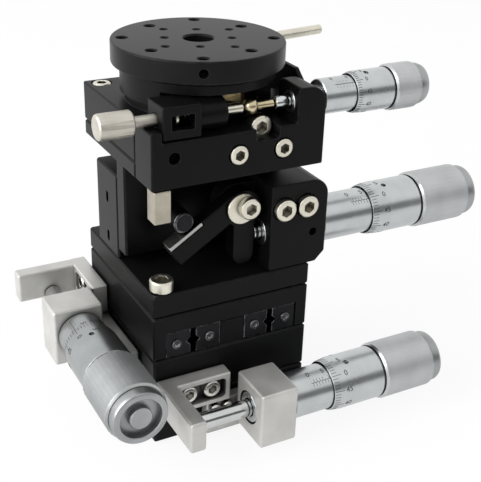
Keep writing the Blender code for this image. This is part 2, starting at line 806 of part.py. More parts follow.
def micrometer(prefix, size, joint, tip, stem, shoulder, turn=FLAT):
    """A micrometer with its thimble's front edge at the joint, pointing along the frame's X."""
    frame = turn @ Matrix.Translation(Vector(joint))
    along = joint[0]
    sleeve = sleeve_piece(prefix + "_sleeve", size, frame, along - stem, along - shoulder)
    spindle = spindle_piece(prefix + "_spindle", size, frame, along - tip)
    thimble = thimble_piece(prefix + "_thimble", size, frame)
    return sleeve, spindle, thimble


def base_plate():
    made = block("base_plate", (-HALF, -HALF, 0), (HALF, HALF, BASE_HEIGHT), rounding=EDGE_ROUND)
    boss(made, X_SLIDE, X_FIXED_LEFT, HALF - EDGE_ROUND, OVERLAP)
    reach = MOUNT_HOLE_PITCH / 2
    for across in (-reach, reach):
        for away in (-reach, reach):
            drill(made, MOUNT_HOLE_RADIUS, MOUNT_HOLE_DEPTH, (across, away, 0), (math.pi, 0, 0))
    flange_holes(made, X_DRIVE, X_BLOCK)
    return made


def middle_plate():
    low = (-HALF, -HALF, MIDDLE_BOTTOM)
    made = block("middle_plate", low, (HALF, HALF, MIDDLE_TOP), rounding=EDGE_ROUND)
    channel(made, X_SLIDE, -HALF - OVERRUN, HALF + OVERRUN)
    boss(made, Y_SLIDE, -HALF + EDGE_ROUND, HALF - EDGE_ROUND, OVERLAP)
    anvil_holes(made, X_DRIVE, X_ARM)
    flange_holes(made, Y_DRIVE, Y_BLOCK)
    return made


CORNERS = [
    (-CORNER_SCREW_X, CORNER_SCREW_FRONT),
    (-CORNER_SCREW_X, CORNER_SCREW_BACK),
    (CORNER_SCREW_X, CORNER_SCREW_BACK),
]


def corner_holes(made, top, depth):
    for across, away in CORNERS:
        drill(made, LARGE_SHANK_RADIUS + SEAT_GAP, depth, (across, away, top))


def top_plate():
    low = (-HALF, -HALF, TOP_BOTTOM)
    made = block("top_plate", low, (HALF, HALF, TOP_TOP), rounding=EDGE_ROUND)
    channel(made, Y_SLIDE, -HALF - OVERRUN, HALF + OVERRUN)
    anvil_holes(made, Y_DRIVE, Y_ARM)
    corner_holes(made, TOP_TOP, CORNER_GRIP + SEAT_GAP)
    return made


def z_base_plate():
    low = (-HALF, -HALF, Z_BASE_BOTTOM)
    made = block("z_base_plate", low, (HALF, HALF, Z_BASE_TOP), rounding=EDGE_ROUND)
    corner_holes(made, Z_BASE_TOP, Z_BASE_HEIGHT + OVERRUN)
    return made


def z_column():
    """The upright column, with the channel of the vertical slide in its front."""
    front = Z_SEAM + SEAT_GAP
    low = (-HALF, front, COLUMN_BOTTOM)
    made = block("z_column", low, (HALF, front + COLUMN_DEPTH, COLUMN_TOP), rounding=EDGE_ROUND)
    channel(made, Z_SLIDE, COLUMN_BOTTOM - OVERRUN, COLUMN_TOP + OVERRUN)
    half = SLOT_LENGTH / 2
    for up in (SLOT_LOWER, SLOT_UPPER):
        middle = COLUMN_BOTTOM + up
        low = (-HALF - OVERRUN, SLOT_Y - SLOT_RADIUS, middle - half)
        high = (-HALF + SLOT_DEPTH, SLOT_Y + SLOT_RADIUS, middle + half)
        cut(made, block("slot", low, high, rounding=SLOT_RADIUS / 2))
    return made


def z_slide_plate():
    """The L of the vertical slide: the plate on the rails and the shelf for the head."""
    low = (-HALF, Z_PLATE_FRONT, Z_PLATE_BOTTOM)
    made = block("z_slide_plate", low, (HALF, Z_SEAM, UPPER_BOTTOM + OVERLAP), rounding=EDGE_ROUND)
    shelf_low = (-HALF, UPPER_FRONT, UPPER_BOTTOM)
    shelf = block("shelf", shelf_low, (HALF, HALF, UPPER_TOP), rounding=EDGE_ROUND)
    join(made, shelf)
    boss(made, Z_SLIDE, Z_PLATE_BOTTOM + EDGE_ROUND, UPPER_BOTTOM + OVERLAP, OVERLAP)
    spot = (LIFT_PIN_X, Z_PLATE_FRONT, lift_pin_height())
    drill(made, LIFT_PIN_RADIUS + SEAT_GAP, LIFT_PIN_SINK + SEAT_GAP, spot, TOWARD_FRONT, sides=SMALL_SIDES)
    for across in (-ROTARY_SCREW_X, ROTARY_SCREW_X):
        spot = (across, ROTARY_SCREW_Y, UPPER_TOP)
        drill(made, CAP_SHANK_RADIUS + SEAT_GAP, ANVIL_GRIP + SEAT_GAP, spot)
    return made


PIVOT_Z = Z_BASE_TOP + PIVOT_UP
EAR_BACK = -HALF + Z_BLOCK_DEPTH
EAR_FRONT = EAR_BACK - EAR_THICKNESS
LEVER_BACK = EAR_FRONT - SEAT_GAP
LEVER_FRONT = LEVER_BACK - LEVER_THICKNESS
LEFT_ARM = Vector((math.cos(LEFT_ARM_ANGLE), 0, math.sin(LEFT_ARM_ANGLE)))
LEFT_NORMAL = Vector((LEFT_ARM.z, 0, -LEFT_ARM.x))


def lift_pin_height():
    """The height at which the pin rests 0.3 mm above the lever's polished strip."""
    reach = LEFT_ARM_RISE + SEAT_GAP + LIFT_PIN_RADIUS
    run = LIFT_PIN_X - PIVOT_X
    return PIVOT_Z + (reach - run * LEFT_NORMAL.x) / LEFT_NORMAL.z


def rounded_corner(x, z, radius, start, count=5):
    """Points round one corner; start is the direction of the first, in quarter turns."""
    points = []
    for index in range(count + 1):
        angle = (start + index / count) * math.pi / 2
        points.append((x + radius * math.cos(angle), z + radius * math.sin(angle)))
    return points


def z_mic_block():
    """The vertical micrometer's block and the ear behind it that carries the lever."""
    bottom = COLUMN_BOTTOM
    top = COLUMN_TOP
    outline = [(Z_BLOCK_LEFT, bottom), (Z_BLOCK_RIGHT - Z_BLOCK_CUT, bottom)]
    outline.append((Z_BLOCK_RIGHT, bottom + Z_BLOCK_CUT))
    outline += rounded_corner(Z_BLOCK_RIGHT - Z_BLOCK_ROUND, top - Z_BLOCK_ROUND, Z_BLOCK_ROUND, 0)
    outline.append((Z_BLOCK_LEFT, top))
    middle = -HALF + Z_BLOCK_DEPTH / 2
    made = sheet("z_mic_block", outline, Z_BLOCK_DEPTH, (0, middle, 0), UPRIGHT)
    bevel(made, EDGE_ROUND)
    ear = [(Z_BLOCK_LEFT + EAR_LEG, PIVOT_Z - EAR_RADIUS), (Z_BLOCK_LEFT + EAR_LEG, PIVOT_Z + EAR_RADIUS)]
    ear += rounded_corner(PIVOT_X, PIVOT_Z, EAR_RADIUS, 1)
    ear += rounded_corner(PIVOT_X, PIVOT_Z, EAR_RADIUS, 2)[1:]
    depth = EAR_THICKNESS - EDGE_ROUND
    spot = (0, EAR_FRONT + depth / 2, 0)
    join(made, sheet("ear", ear, depth, spot, UPRIGHT))
    spot = (Z_BLOCK_LEFT, Z_AXIS_Y, Z_BASE_TOP + Z_AXIS_UP)
    length = Z_BLOCK_RIGHT - Z_BLOCK_LEFT + OVERRUN
    radius = LARGE["stem"] + SEAT_GAP
    cut(made, rod("bore", radius, -OVERRUN, length, spot, ALONG_X, sides=ROUND_SIDES))
    for across in (Z_SCREW_FIRST_X, Z_SCREW_FIRST_X + Z_SCREW_PITCH):
        spot = (across, -HALF, Z_BASE_TOP + Z_SCREW_UP)
        sink = LARGE_HEAD_RADIUS + SEAT_GAP / 2
        drill(made, sink, Z_SCREW_SINK, spot, TOWARD_FRONT, sides=SMALL_SIDES)
        drill(made, LARGE_SHANK_RADIUS + SEAT_GAP, Z_SCREW_LENGTH + Z_SCREW_SINK, spot, TOWARD_FRONT)
    spot = (SET_HOLE_X, -HALF, Z_BASE_TOP + SET_HOLE_UP)
    drill(made, SET_HOLE_RADIUS, SET_HOLE_DEPTH, spot, TOWARD_FRONT)
    spot = (PIVOT_X, EAR_FRONT, PIVOT_Z)
    drill(made, PIVOT_BORE, PIVOT_GRIP + SEAT_GAP, spot, TOWARD_FRONT, sides=SMALL_SIDES)
    return made


def z_corner_screw():
    """The cap screw in the front corner of the vertical stage's base."""
    across, away = CORNERS[0]
    grip = Z_BASE_HEIGHT + 2 * SEAT_GAP + CORNER_GRIP
    spot = (across, away, Z_BASE_TOP + SEAT_GAP)
    size = (LARGE_HEAD_RADIUS, LARGE_HEAD_LENGTH, LARGE_SHANK_RADIUS, grip)
    return screw("z_corner_screw", spot, ALONG_Z, *size)


LEVER_MIDDLE = (LEVER_BACK + LEVER_FRONT) / 2
LEVER_FRAME = Matrix.Translation(Vector((PIVOT_X, LEVER_MIDDLE, PIVOT_Z)))
ARM_FRAME = LEVER_FRAME @ Matrix.Rotation(-LEFT_ARM_ANGLE, 4, "Y")


def z_lever():
    """The bell crank: a hub, the arm under the lift pin and the arm before the spindle."""
    half = LEVER_THICKNESS / 2
    made = rod("z_lever", HUB_RADIUS, -half, half, (0, 0, 0), TOWARD_FRONT, LEVER_FRAME, ROUND_SIDES)
    low = (0, -half, -LEFT_ARM_RISE)
    high = (LEFT_ARM_LENGTH, half, LEFT_ARM_WIDTH - LEFT_ARM_RISE)
    left_arm = block("left_arm", low, high, ARM_FRAME)
    low = (RIGHT_ARM_SHIFT - RIGHT_ARM_HALF, -half, -RIGHT_ARM_DROP)
    high = (RIGHT_ARM_SHIFT + RIGHT_ARM_HALF, half, 0)
    right_arm = block("right_arm", low, high, LEVER_FRAME)
    spot = (RIGHT_ARM_SHIFT, 0, -RIGHT_ARM_DROP)
    foot = rod("foot", RIGHT_ARM_HALF, -half, half, spot, TOWARD_FRONT, LEVER_FRAME, ROUND_SIDES)
    join(made, left_arm, right_arm, foot)
    low = (STRIP_START - SEAT_GAP, -half - OVERRUN, -LEFT_ARM_RISE - OVERRUN)
    high = (LEFT_ARM_LENGTH + OVERRUN, half + OVERRUN, -LEFT_ARM_RISE + STRIP_THICKNESS + SEAT_GAP)
    cut(made, block("strip_seat", low, high, ARM_FRAME))
    bore = rod("bore", PIVOT_BORE, -OVERRUN, OVERRUN, (0, 0, 0), TOWARD_FRONT, LEVER_FRAME, SMALL_SIDES)
    cut(made, bore)
    return made


def lever_wear_strip():
    half = LEVER_THICKNESS / 2
    low = (STRIP_START, -half, -LEFT_ARM_RISE)
    high = (STRIP_END, half, -LEFT_ARM_RISE + STRIP_THICKNESS)
    return block("lever_wear_strip", low, high, ARM_FRAME)


def lever_pivot():
    """The shouldered pivot screw with its washer face in front of the lever."""
    shaft = PIVOT_BORE - SEAT_GAP
    seat = LEVER_THICKNESS + 2 * SEAT_GAP
    washer = seat + WASHER_THICKNESS
    top = washer + PIVOT_HEAD_LENGTH
    profile = [
        (0, top),
        (PIVOT_HEAD_RADIUS - HEAD_EDGE, top),
        (PIVOT_HEAD_RADIUS, top - HEAD_EDGE),
        (PIVOT_HEAD_RADIUS, washer),
        (WASHER_RADIUS, washer),
        (WASHER_RADIUS, seat),
        (shaft, seat),
        (shaft, -PIVOT_GRIP),
        (0, -PIVOT_GRIP),
    ]
    spot = (PIVOT_X, EAR_FRONT, PIVOT_Z)
    made = turned("lever_pivot", profile, spot, TOWARD_FRONT, sides=SMALL_SIDES)
    radius = PIVOT_HEAD_RADIUS * HEX_SHARE
    floor = top - PIVOT_HEAD_LENGTH * HEX_DEPTH_SHARE
    cut(made, rod("socket", radius, floor, top + OVERRUN, spot, TOWARD_FRONT, sides=6))
    return made


def lift_pin():
    back = Z_PLATE_FRONT + LIFT_PIN_SINK
    front = LEVER_FRONT + SEAT_GAP
    spot = (LIFT_PIN_X, back, lift_pin_height())
    made = rod("lift_pin", LIFT_PIN_RADIUS, 0, back - front, spot, TOWARD_FRONT, sides=ROUND_SIDES)
    bevel(made, TIP_EDGE)
    return made


def stop_post():
    left = -HALF + POST_INSET
    low = (left, -HALF + SEAT_GAP, UPPER_BOTTOM - POST_LENGTH)
    high = (left + POST_SIDE, -HALF + SEAT_GAP + POST_SIDE, UPPER_BOTTOM)
    return block("stop_post", low, high, rounding=EDGE_ROUND)


FRONT_BACK = UPPER_FRONT - SEAT_GAP
FRONT_BOTTOM = UPPER_BOTTOM + SEAT_GAP
FRONT_TOP = FINE_Z - FRONT_LEDGE
NOTCH_FLOOR = ROTARY_BOTTOM + BIG_SCREW_UP - NOTCH_BELOW


def rotary_base():
    """The head's base: a block with the fixed collar, open at the front for the arm."""
    low = (-HALF, UPPER_FRONT, ROTARY_BOTTOM)
    made = block("rotary_base", low, (HALF, HALF, ROTARY_TOP), rounding=EDGE_ROUND)
    profile = [
        (COLLAR_RADIUS - EDGE_ROUND, COLLAR_TOP),
        (COLLAR_RADIUS, COLLAR_TOP - EDGE_ROUND),
        (COLLAR_RADIUS, ROTARY_TOP + NECK_HEIGHT),
        (NECK_RADIUS, ROTARY_TOP + NECK_HEIGHT),
        (NECK_RADIUS, ROTARY_TOP - OVERLAP),
        (COLLAR_BORE, ROTARY_TOP - OVERLAP),
        (COLLAR_BORE, COLLAR_TOP),
    ]
    collar = turned("collar", profile, (0, 0, 0), sides=BIG_SIDES)
    rim = COLLAR_TOP - COLLAR_RIM
    low = (-BODY, -BODY, ROTARY_TOP - OVERRUN)
    cut(collar, block("front_opening", low, (BODY, UPPER_FRONT + COLLAR_FLAT, rim)))
    wedge = [(0, 0)]
    for index in range(6):
        angle = WINDOW_FROM + (WINDOW_TO - WINDOW_FROM) * index / 5
        wedge.append((BODY * math.cos(angle), BODY * math.sin(angle)))
    height = rim - ROTARY_TOP + OVERRUN
    cut(collar, sheet("arm_window", wedge, height, (0, 0, rim - height / 2)))
    join(made, collar)
    length = ROTARY_HEIGHT + OVERRUN
    cut(made, rod("bore", CLAMP_BORE, -length, OVERLAP, (0, 0, ROTARY_TOP), sides=ROUND_SIDES))
    for across in (-ROTARY_SCREW_X, ROTARY_SCREW_X):
        spot = (across, ROTARY_SCREW_Y, ROTARY_TOP)
        drill(made, CAP_HEAD_RADIUS + SEAT_GAP, ROTARY_SCREW_SINK, spot)
        drill(made, CAP_SHANK_RADIUS + SEAT_GAP, length, spot)
    for across in (FRONT_SCREW_LEFT, FRONT_SCREW_RIGHT):
        spot = (across, UPPER_FRONT, ROTARY_BOTTOM + FRONT_SCREW_UP)
        drill(made, CAP_SHANK_RADIUS + SEAT_GAP, FRONT_GRIP + SEAT_GAP, spot, TOWARD_FRONT)
    spot = (BIG_SCREW_X, UPPER_FRONT, ROTARY_BOTTOM + BIG_SCREW_UP)
    drill(made, LARGE_SHANK_RADIUS + SEAT_GAP, FRONT_GRIP + SEAT_GAP, spot, TOWARD_FRONT)
    return made


def bracket_screws():
    """Three screws through the front bracket: two at its foot, a larger one in the notch."""
    made = []
    front = FRONT_BACK - FRONT_THICKNESS
    cap = (CAP_HEAD_RADIUS, CAP_HEAD_LENGTH, CAP_SHANK_RADIUS)
    seat = front + FRONT_SCREW_SINK - SEAT_GAP
    grip = UPPER_FRONT - seat + FRONT_GRIP
    for label, across in (("left", FRONT_SCREW_LEFT), ("right", FRONT_SCREW_RIGHT)):
        spot = (across, seat, ROTARY_BOTTOM + FRONT_SCREW_UP)
        made.append(screw("bracket_screw_" + label, spot, TOWARD_FRONT, *cap, grip))
    seat = front + NOTCH_DEPTH - SEAT_GAP
    spot = (BIG_SCREW_X, seat, ROTARY_BOTTOM + BIG_SCREW_UP)
    grip = UPPER_FRONT - seat + FRONT_GRIP
    big = (BIG_SCREW_HEAD, BIG_SCREW_LENGTH, LARGE_SHANK_RADIUS, grip)
    made.append(screw("bracket_screw_notch", spot, TOWARD_FRONT, *big))
    return made


def front_bracket():
    """The bracket before the head: holder of the fine micrometer, notch and rib."""
    top = FINE_Z + HOLDER_RISE
    outline = [(-HALF, FRONT_BOTTOM), (FRONT_RIGHT, FRONT_BOTTOM)]
    outline += rounded_corner(FRONT_RIGHT - HOLDER_ROUND, top - HOLDER_ROUND, HOLDER_ROUND, 0)
    outline += rounded_corner(HOLDER_LEFT + FRONT_CORNER, top - FRONT_CORNER, FRONT_CORNER, 1, 3)
    outline += [(HOLDER_LEFT, FRONT_TOP), (-HALF + FRONT_EAR_WIDTH, FRONT_TOP)]
    outline += [(-HALF + FRONT_EAR_WIDTH, ROTARY_TOP), (-HALF, ROTARY_TOP)]
    middle = FRONT_BACK - FRONT_THICKNESS / 2
    front = FRONT_BACK - FRONT_THICKNESS
    made = sheet("front_bracket", outline, FRONT_THICKNESS, (0, middle, 0), UPRIGHT)
    bevel(made, EDGE_ROUND)
    rib_top = FINE_Z + RIB_TOP
    rib = [
        (FRONT_BACK - OVERLAP, FRONT_BOTTOM + OVERLAP),
        (FRONT_BACK + RIB_STEP, FRONT_BOTTOM + OVERLAP),
        (RIB_BACK, FRONT_TOP),
        (RIB_BACK, rib_top),
        (FRONT_BACK + RIB_SLOPE, rib_top),
        (FRONT_BACK - OVERLAP, rib_top - RIB_SLOPE),
    ]
    inner = HALF + SEAT_GAP
    join(made, sheet("rib", rib, RIB_THICKNESS, (inner + RIB_THICKNESS / 2, 0, 0), ACROSS))
    radius = SMALL["stem"] + SEAT_GAP
    length = FRONT_RIGHT - HOLDER_LEFT + OVERRUN
    spot = (HOLDER_LEFT, FINE_Y, FINE_Z)
    cut(made, rod("bore", radius, -OVERRUN, length, spot, ALONG_X, sides=ROUND_SIDES))
    low = (NOTCH_LEFT, front - OVERRUN, NOTCH_FLOOR)
    high = (NOTCH_RIGHT, front + NOTCH_DEPTH, FRONT_TOP + OVERRUN)
    cut(made, block("notch", low, high))
    for across in (FRONT_SCREW_LEFT, FRONT_SCREW_RIGHT):
        spot = (across, front, ROTARY_BOTTOM + FRONT_SCREW_UP)
        drill(made, CAP_HEAD_RADIUS + SEAT_GAP, FRONT_SCREW_SINK, spot, TOWARD_FRONT)
        drill(made, CAP_SHANK_RADIUS + SEAT_GAP, FRONT_THICKNESS + OVERRUN, spot, TOWARD_FRONT)
    spot = (BIG_SCREW_X, front, ROTARY_BOTTOM + BIG_SCREW_UP)
    drill(made, LARGE_SHANK_RADIUS + SEAT_GAP, FRONT_THICKNESS + OVERRUN, spot, TOWARD_FRONT)
    spot = (BLIND_HOLE_X, front, ROTARY_BOTTOM + BLIND_HOLE_UP)
    drill(made, BLIND_HOLE_RADIUS, SET_HOLE_DEPTH, spot, TOWARD_FRONT)
    return made


def plunger_housing():
    """The housing of the return plunger: a windowed box and a round barrel, bored through."""
    low = (HOUSING_LEFT, FINE_Y - HOUSING_HALF, FRONT_TOP + SEAT_GAP)
    high = (HOUSING_RIGHT, FINE_Y + HOUSING_HALF, FINE_Z + HOUSING_RISE)
    made = block("plunger_housing", low, high, rounding=EDGE_ROUND)
    axis = (0, FINE_Y, FINE_Z)
    start = HOUSING_RIGHT - OVERLAP
    join(made, rod("barrel", BARREL_RADIUS, start, BARREL_END, axis, ALONG_X, sides=ROUND_SIDES))
    low = HOUSING_LEFT + HOUSING_WALL
    high = BARREL_END - HOUSING_WALL
    cut(made, rod("bore", HOUSING_BORE, low, high, axis, ALONG_X, sides=ROUND_SIDES))
    radius = ROD_RADIUS + SEAT_GAP
    cut(made, rod("rod_hole", radius, high - OVERLAP, BARREL_END + OVERRUN, axis, ALONG_X))
    radius = THUMB_SHAFT + SEAT_GAP
    cut(made, rod("shaft_hole", radius, HOUSING_LEFT - OVERRUN, low + OVERLAP, axis, ALONG_X))
    low = (WINDOW_LEFT, FINE_Y - HOUSING_HALF - OVERRUN, FINE_Z - WINDOW_HALF)
    high = (WINDOW_RIGHT, FINE_Y, FINE_Z + WINDOW_HALF)
    cut(made, block("window", low, high))
    return made


def plunger_rod():
    flange_end = ROD_FLANGE + ROD_FLANGE_THICKNESS
    tip = BALL_X - BALL_RADIUS - SEAT_GAP
    profile = [
        (0, tip),
        (ROD_RADIUS - TIP_EDGE, tip),
        (ROD_RADIUS, tip - TIP_EDGE),
        (ROD_RADIUS, flange_end),
        (ROD_FLANGE_RADIUS, flange_end),
        (ROD_FLANGE_RADIUS, ROD_FLANGE),
        (ROD_RADIUS, ROD_FLANGE),
        (ROD_RADIUS, ROD_TAIL),
        (0, ROD_TAIL),
    ]
    return turned("plunger_rod", profile, (0, FINE_Y, FINE_Z), ALONG_X, sides=SMALL_SIDES)


def plunger_spring():
    """The coil behind the plunger's flange."""
    points = []
    total = SPRING_TURNS * SPRING_STEPS
    for index in range(total + 1):
        angle = 2 * math.pi * index / SPRING_STEPS
        along = SPRING_LENGTH * index / total
        points.append((SPRING_RADIUS * math.cos(angle), SPRING_RADIUS * math.sin(angle), along))
    pitch = SPRING_LENGTH / SPRING_TURNS
    print("plunger_spring: least gap between turns, mm:", round((pitch - 2 * SPRING_WIRE) / MM, 3))
    curve = bpy.data.curves.new("plunger_spring", "CURVE")
    curve.dimensions = "3D"
    curve.bevel_depth = SPRING_WIRE
    curve.bevel_resolution = 1
    curve.use_fill_caps = True
    line = curve.splines.new("POLY")
    line.points.add(len(points) - 1)
    for point, spot in zip(line.points, points):
        point.co = (*spot, 1)
    made = bpy.data.objects.new("plunger_spring", curve)
    PARTS.objects.link(made)
    start = ROD_FLANGE - SEAT_GAP - SPRING_WIRE - SPRING_LENGTH
    return place(made, (start, FINE_Y, FINE_Z), ALONG_X)


def spring_seat():
    axis = (SEAT_LEFT, FINE_Y, FINE_Z)
    return rod("spring_seat", SEAT_RADIUS, 0, SEAT_THICKNESS, axis, ALONG_X)


def thumbscrew():
    """The knurled thumbscrew that loads the spring seat."""
    tip = SEAT_LEFT - SEAT_GAP
    profile = [
        (0, tip),
        (THUMB_SHAFT - TIP_EDGE, tip),
        (THUMB_SHAFT, tip - TIP_EDGE),
        (THUMB_SHAFT, THUMB_KNOB_RIGHT),
        (THUMB_KNOB_RADIUS - TIP_EDGE, THUMB_KNOB_RIGHT),
        (THUMB_KNOB_RADIUS, THUMB_KNOB_RIGHT - TIP_EDGE),
        (THUMB_KNOB_RADIUS, THUMB_KNOB_LEFT + TIP_EDGE),
        (THUMB_KNOB_RADIUS - TIP_EDGE, THUMB_KNOB_LEFT),
        (0, THUMB_KNOB_LEFT),
    ]
    return turned("thumbscrew", profile, (0, FINE_Y, FINE_Z), ALONG_X, sides=20)


def tangent_arm():
    """The arm clamped on the platform's spigot, a ball at its end toward the plunger."""
    profile = [
        (CLAMP_RADIUS, ARM_FLOOR + CLAMP_HEIGHT),
        (CLAMP_RADIUS, ARM_FLOOR),
        (CLAMP_BORE, ARM_FLOOR),
        (CLAMP_BORE, ARM_FLOOR + CLAMP_HEIGHT),
    ]
    made = turned("tangent_arm", profile, (0, 0, 0), sides=ROUND_SIDES)
    outline = [
        (CLAMP_MIDDLE * math.cos(ARM_FROM), CLAMP_MIDDLE * math.sin(ARM_FROM)),
        (ARM_LEFT, ARM_LEFT_BEND),
        (ARM_LEFT, ARM_END),
        (ARM_RIGHT, ARM_END),
        (ARM_RIGHT, ARM_RIGHT_BEND),
        (CLAMP_MIDDLE * math.cos(ARM_TO), CLAMP_MIDDLE * math.sin(ARM_TO)),
    ]
    plate = sheet("arm_plate", outline, ARM_PLATE, (0, 0, ARM_FLOOR + ARM_PLATE / 2))
    ball = bmesh.new()
    bmesh.ops.create_uvsphere(ball, u_segments=SMALL_SIDES, v_segments=8, radius=BALL_RADIUS)
    join(made, plate, place(from_bmesh("ball", ball), (BALL_X, FINE_Y, FINE_Z)))
    return made


def around(radius, angle, height):
    return (radius * math.cos(angle), radius * math.sin(angle), height)


def platform():
    """The round platform with its spigot, through bore and tapped holes."""
    profile = [
        (PLATFORM_RADIUS - EDGE_ROUND, PLATFORM_TOP),
        (PLATFORM_RADIUS, PLATFORM_TOP - EDGE_ROUND),
        (PLATFORM_RADIUS, PLATFORM_BOTTOM + EDGE_ROUND),
        (PLATFORM_RADIUS - EDGE_ROUND, PLATFORM_BOTTOM),
        (SPIGOT_RADIUS, PLATFORM_BOTTOM),
        (SPIGOT_RADIUS, SPIGOT_BOTTOM),
        (PLATFORM_BORE, SPIGOT_BOTTOM),
        (PLATFORM_BORE, PLATFORM_TOP),
    ]
    made = turned("platform", profile, (0, 0, 0), sides=BIG_SIDES)
    quarter = math.pi / 2
    for index in range(4):
        turn = PLATFORM_TURN + index * quarter
        drill(made, TAP_RADIUS, TAP_DEPTH, around(RING_RADIUS, turn, PLATFORM_TOP))
        turn += quarter / 2
        drill(made, TAP_RADIUS, TAP_DEPTH, around(SECOND_RING_RADIUS, turn, PLATFORM_TOP))
        turn = PLATFORM_TURN + index * quarter
        drill(made, SMALL_TAP_RADIUS, TAP_DEPTH, around(GRID_PITCH, turn, PLATFORM_TOP), sides=8)
        turn += quarter / 2
        corner = GRID_PITCH * math.sqrt(2)
        drill(made, SMALL_TAP_RADIUS, TAP_DEPTH, around(corner, turn, PLATFORM_TOP), sides=8)
    middle = (PLATFORM_TOP + PLATFORM_BOTTOM) / 2
    spot = around(PLATFORM_RADIUS, RIM_SCREW_ANGLE, middle)
    drill(made, RIM_SCREW_RADIUS, RIM_SCREW_DEPTH, spot, (0, quarter, RIM_SCREW_ANGLE), sides=8)
    spot = around(PLATFORM_RADIUS, HANDLE_ANGLE, middle)
    radius = HANDLE_RADIUS + SEAT_GAP
    drill(made, radius, HANDLE_SINK + SEAT_GAP, spot, (0, quarter, HANDLE_ANGLE))
    return made


def handle_rod():
    middle = (PLATFORM_TOP + PLATFORM_BOTTOM) / 2
    start = PLATFORM_RADIUS - HANDLE_SINK
    turn = (0, math.pi / 2, HANDLE_ANGLE)
    made = rod("handle_rod", HANDLE_RADIUS, start, HANDLE_END, (0, 0, middle), turn)
    bevel(made, TIP_EDGE)
    return made


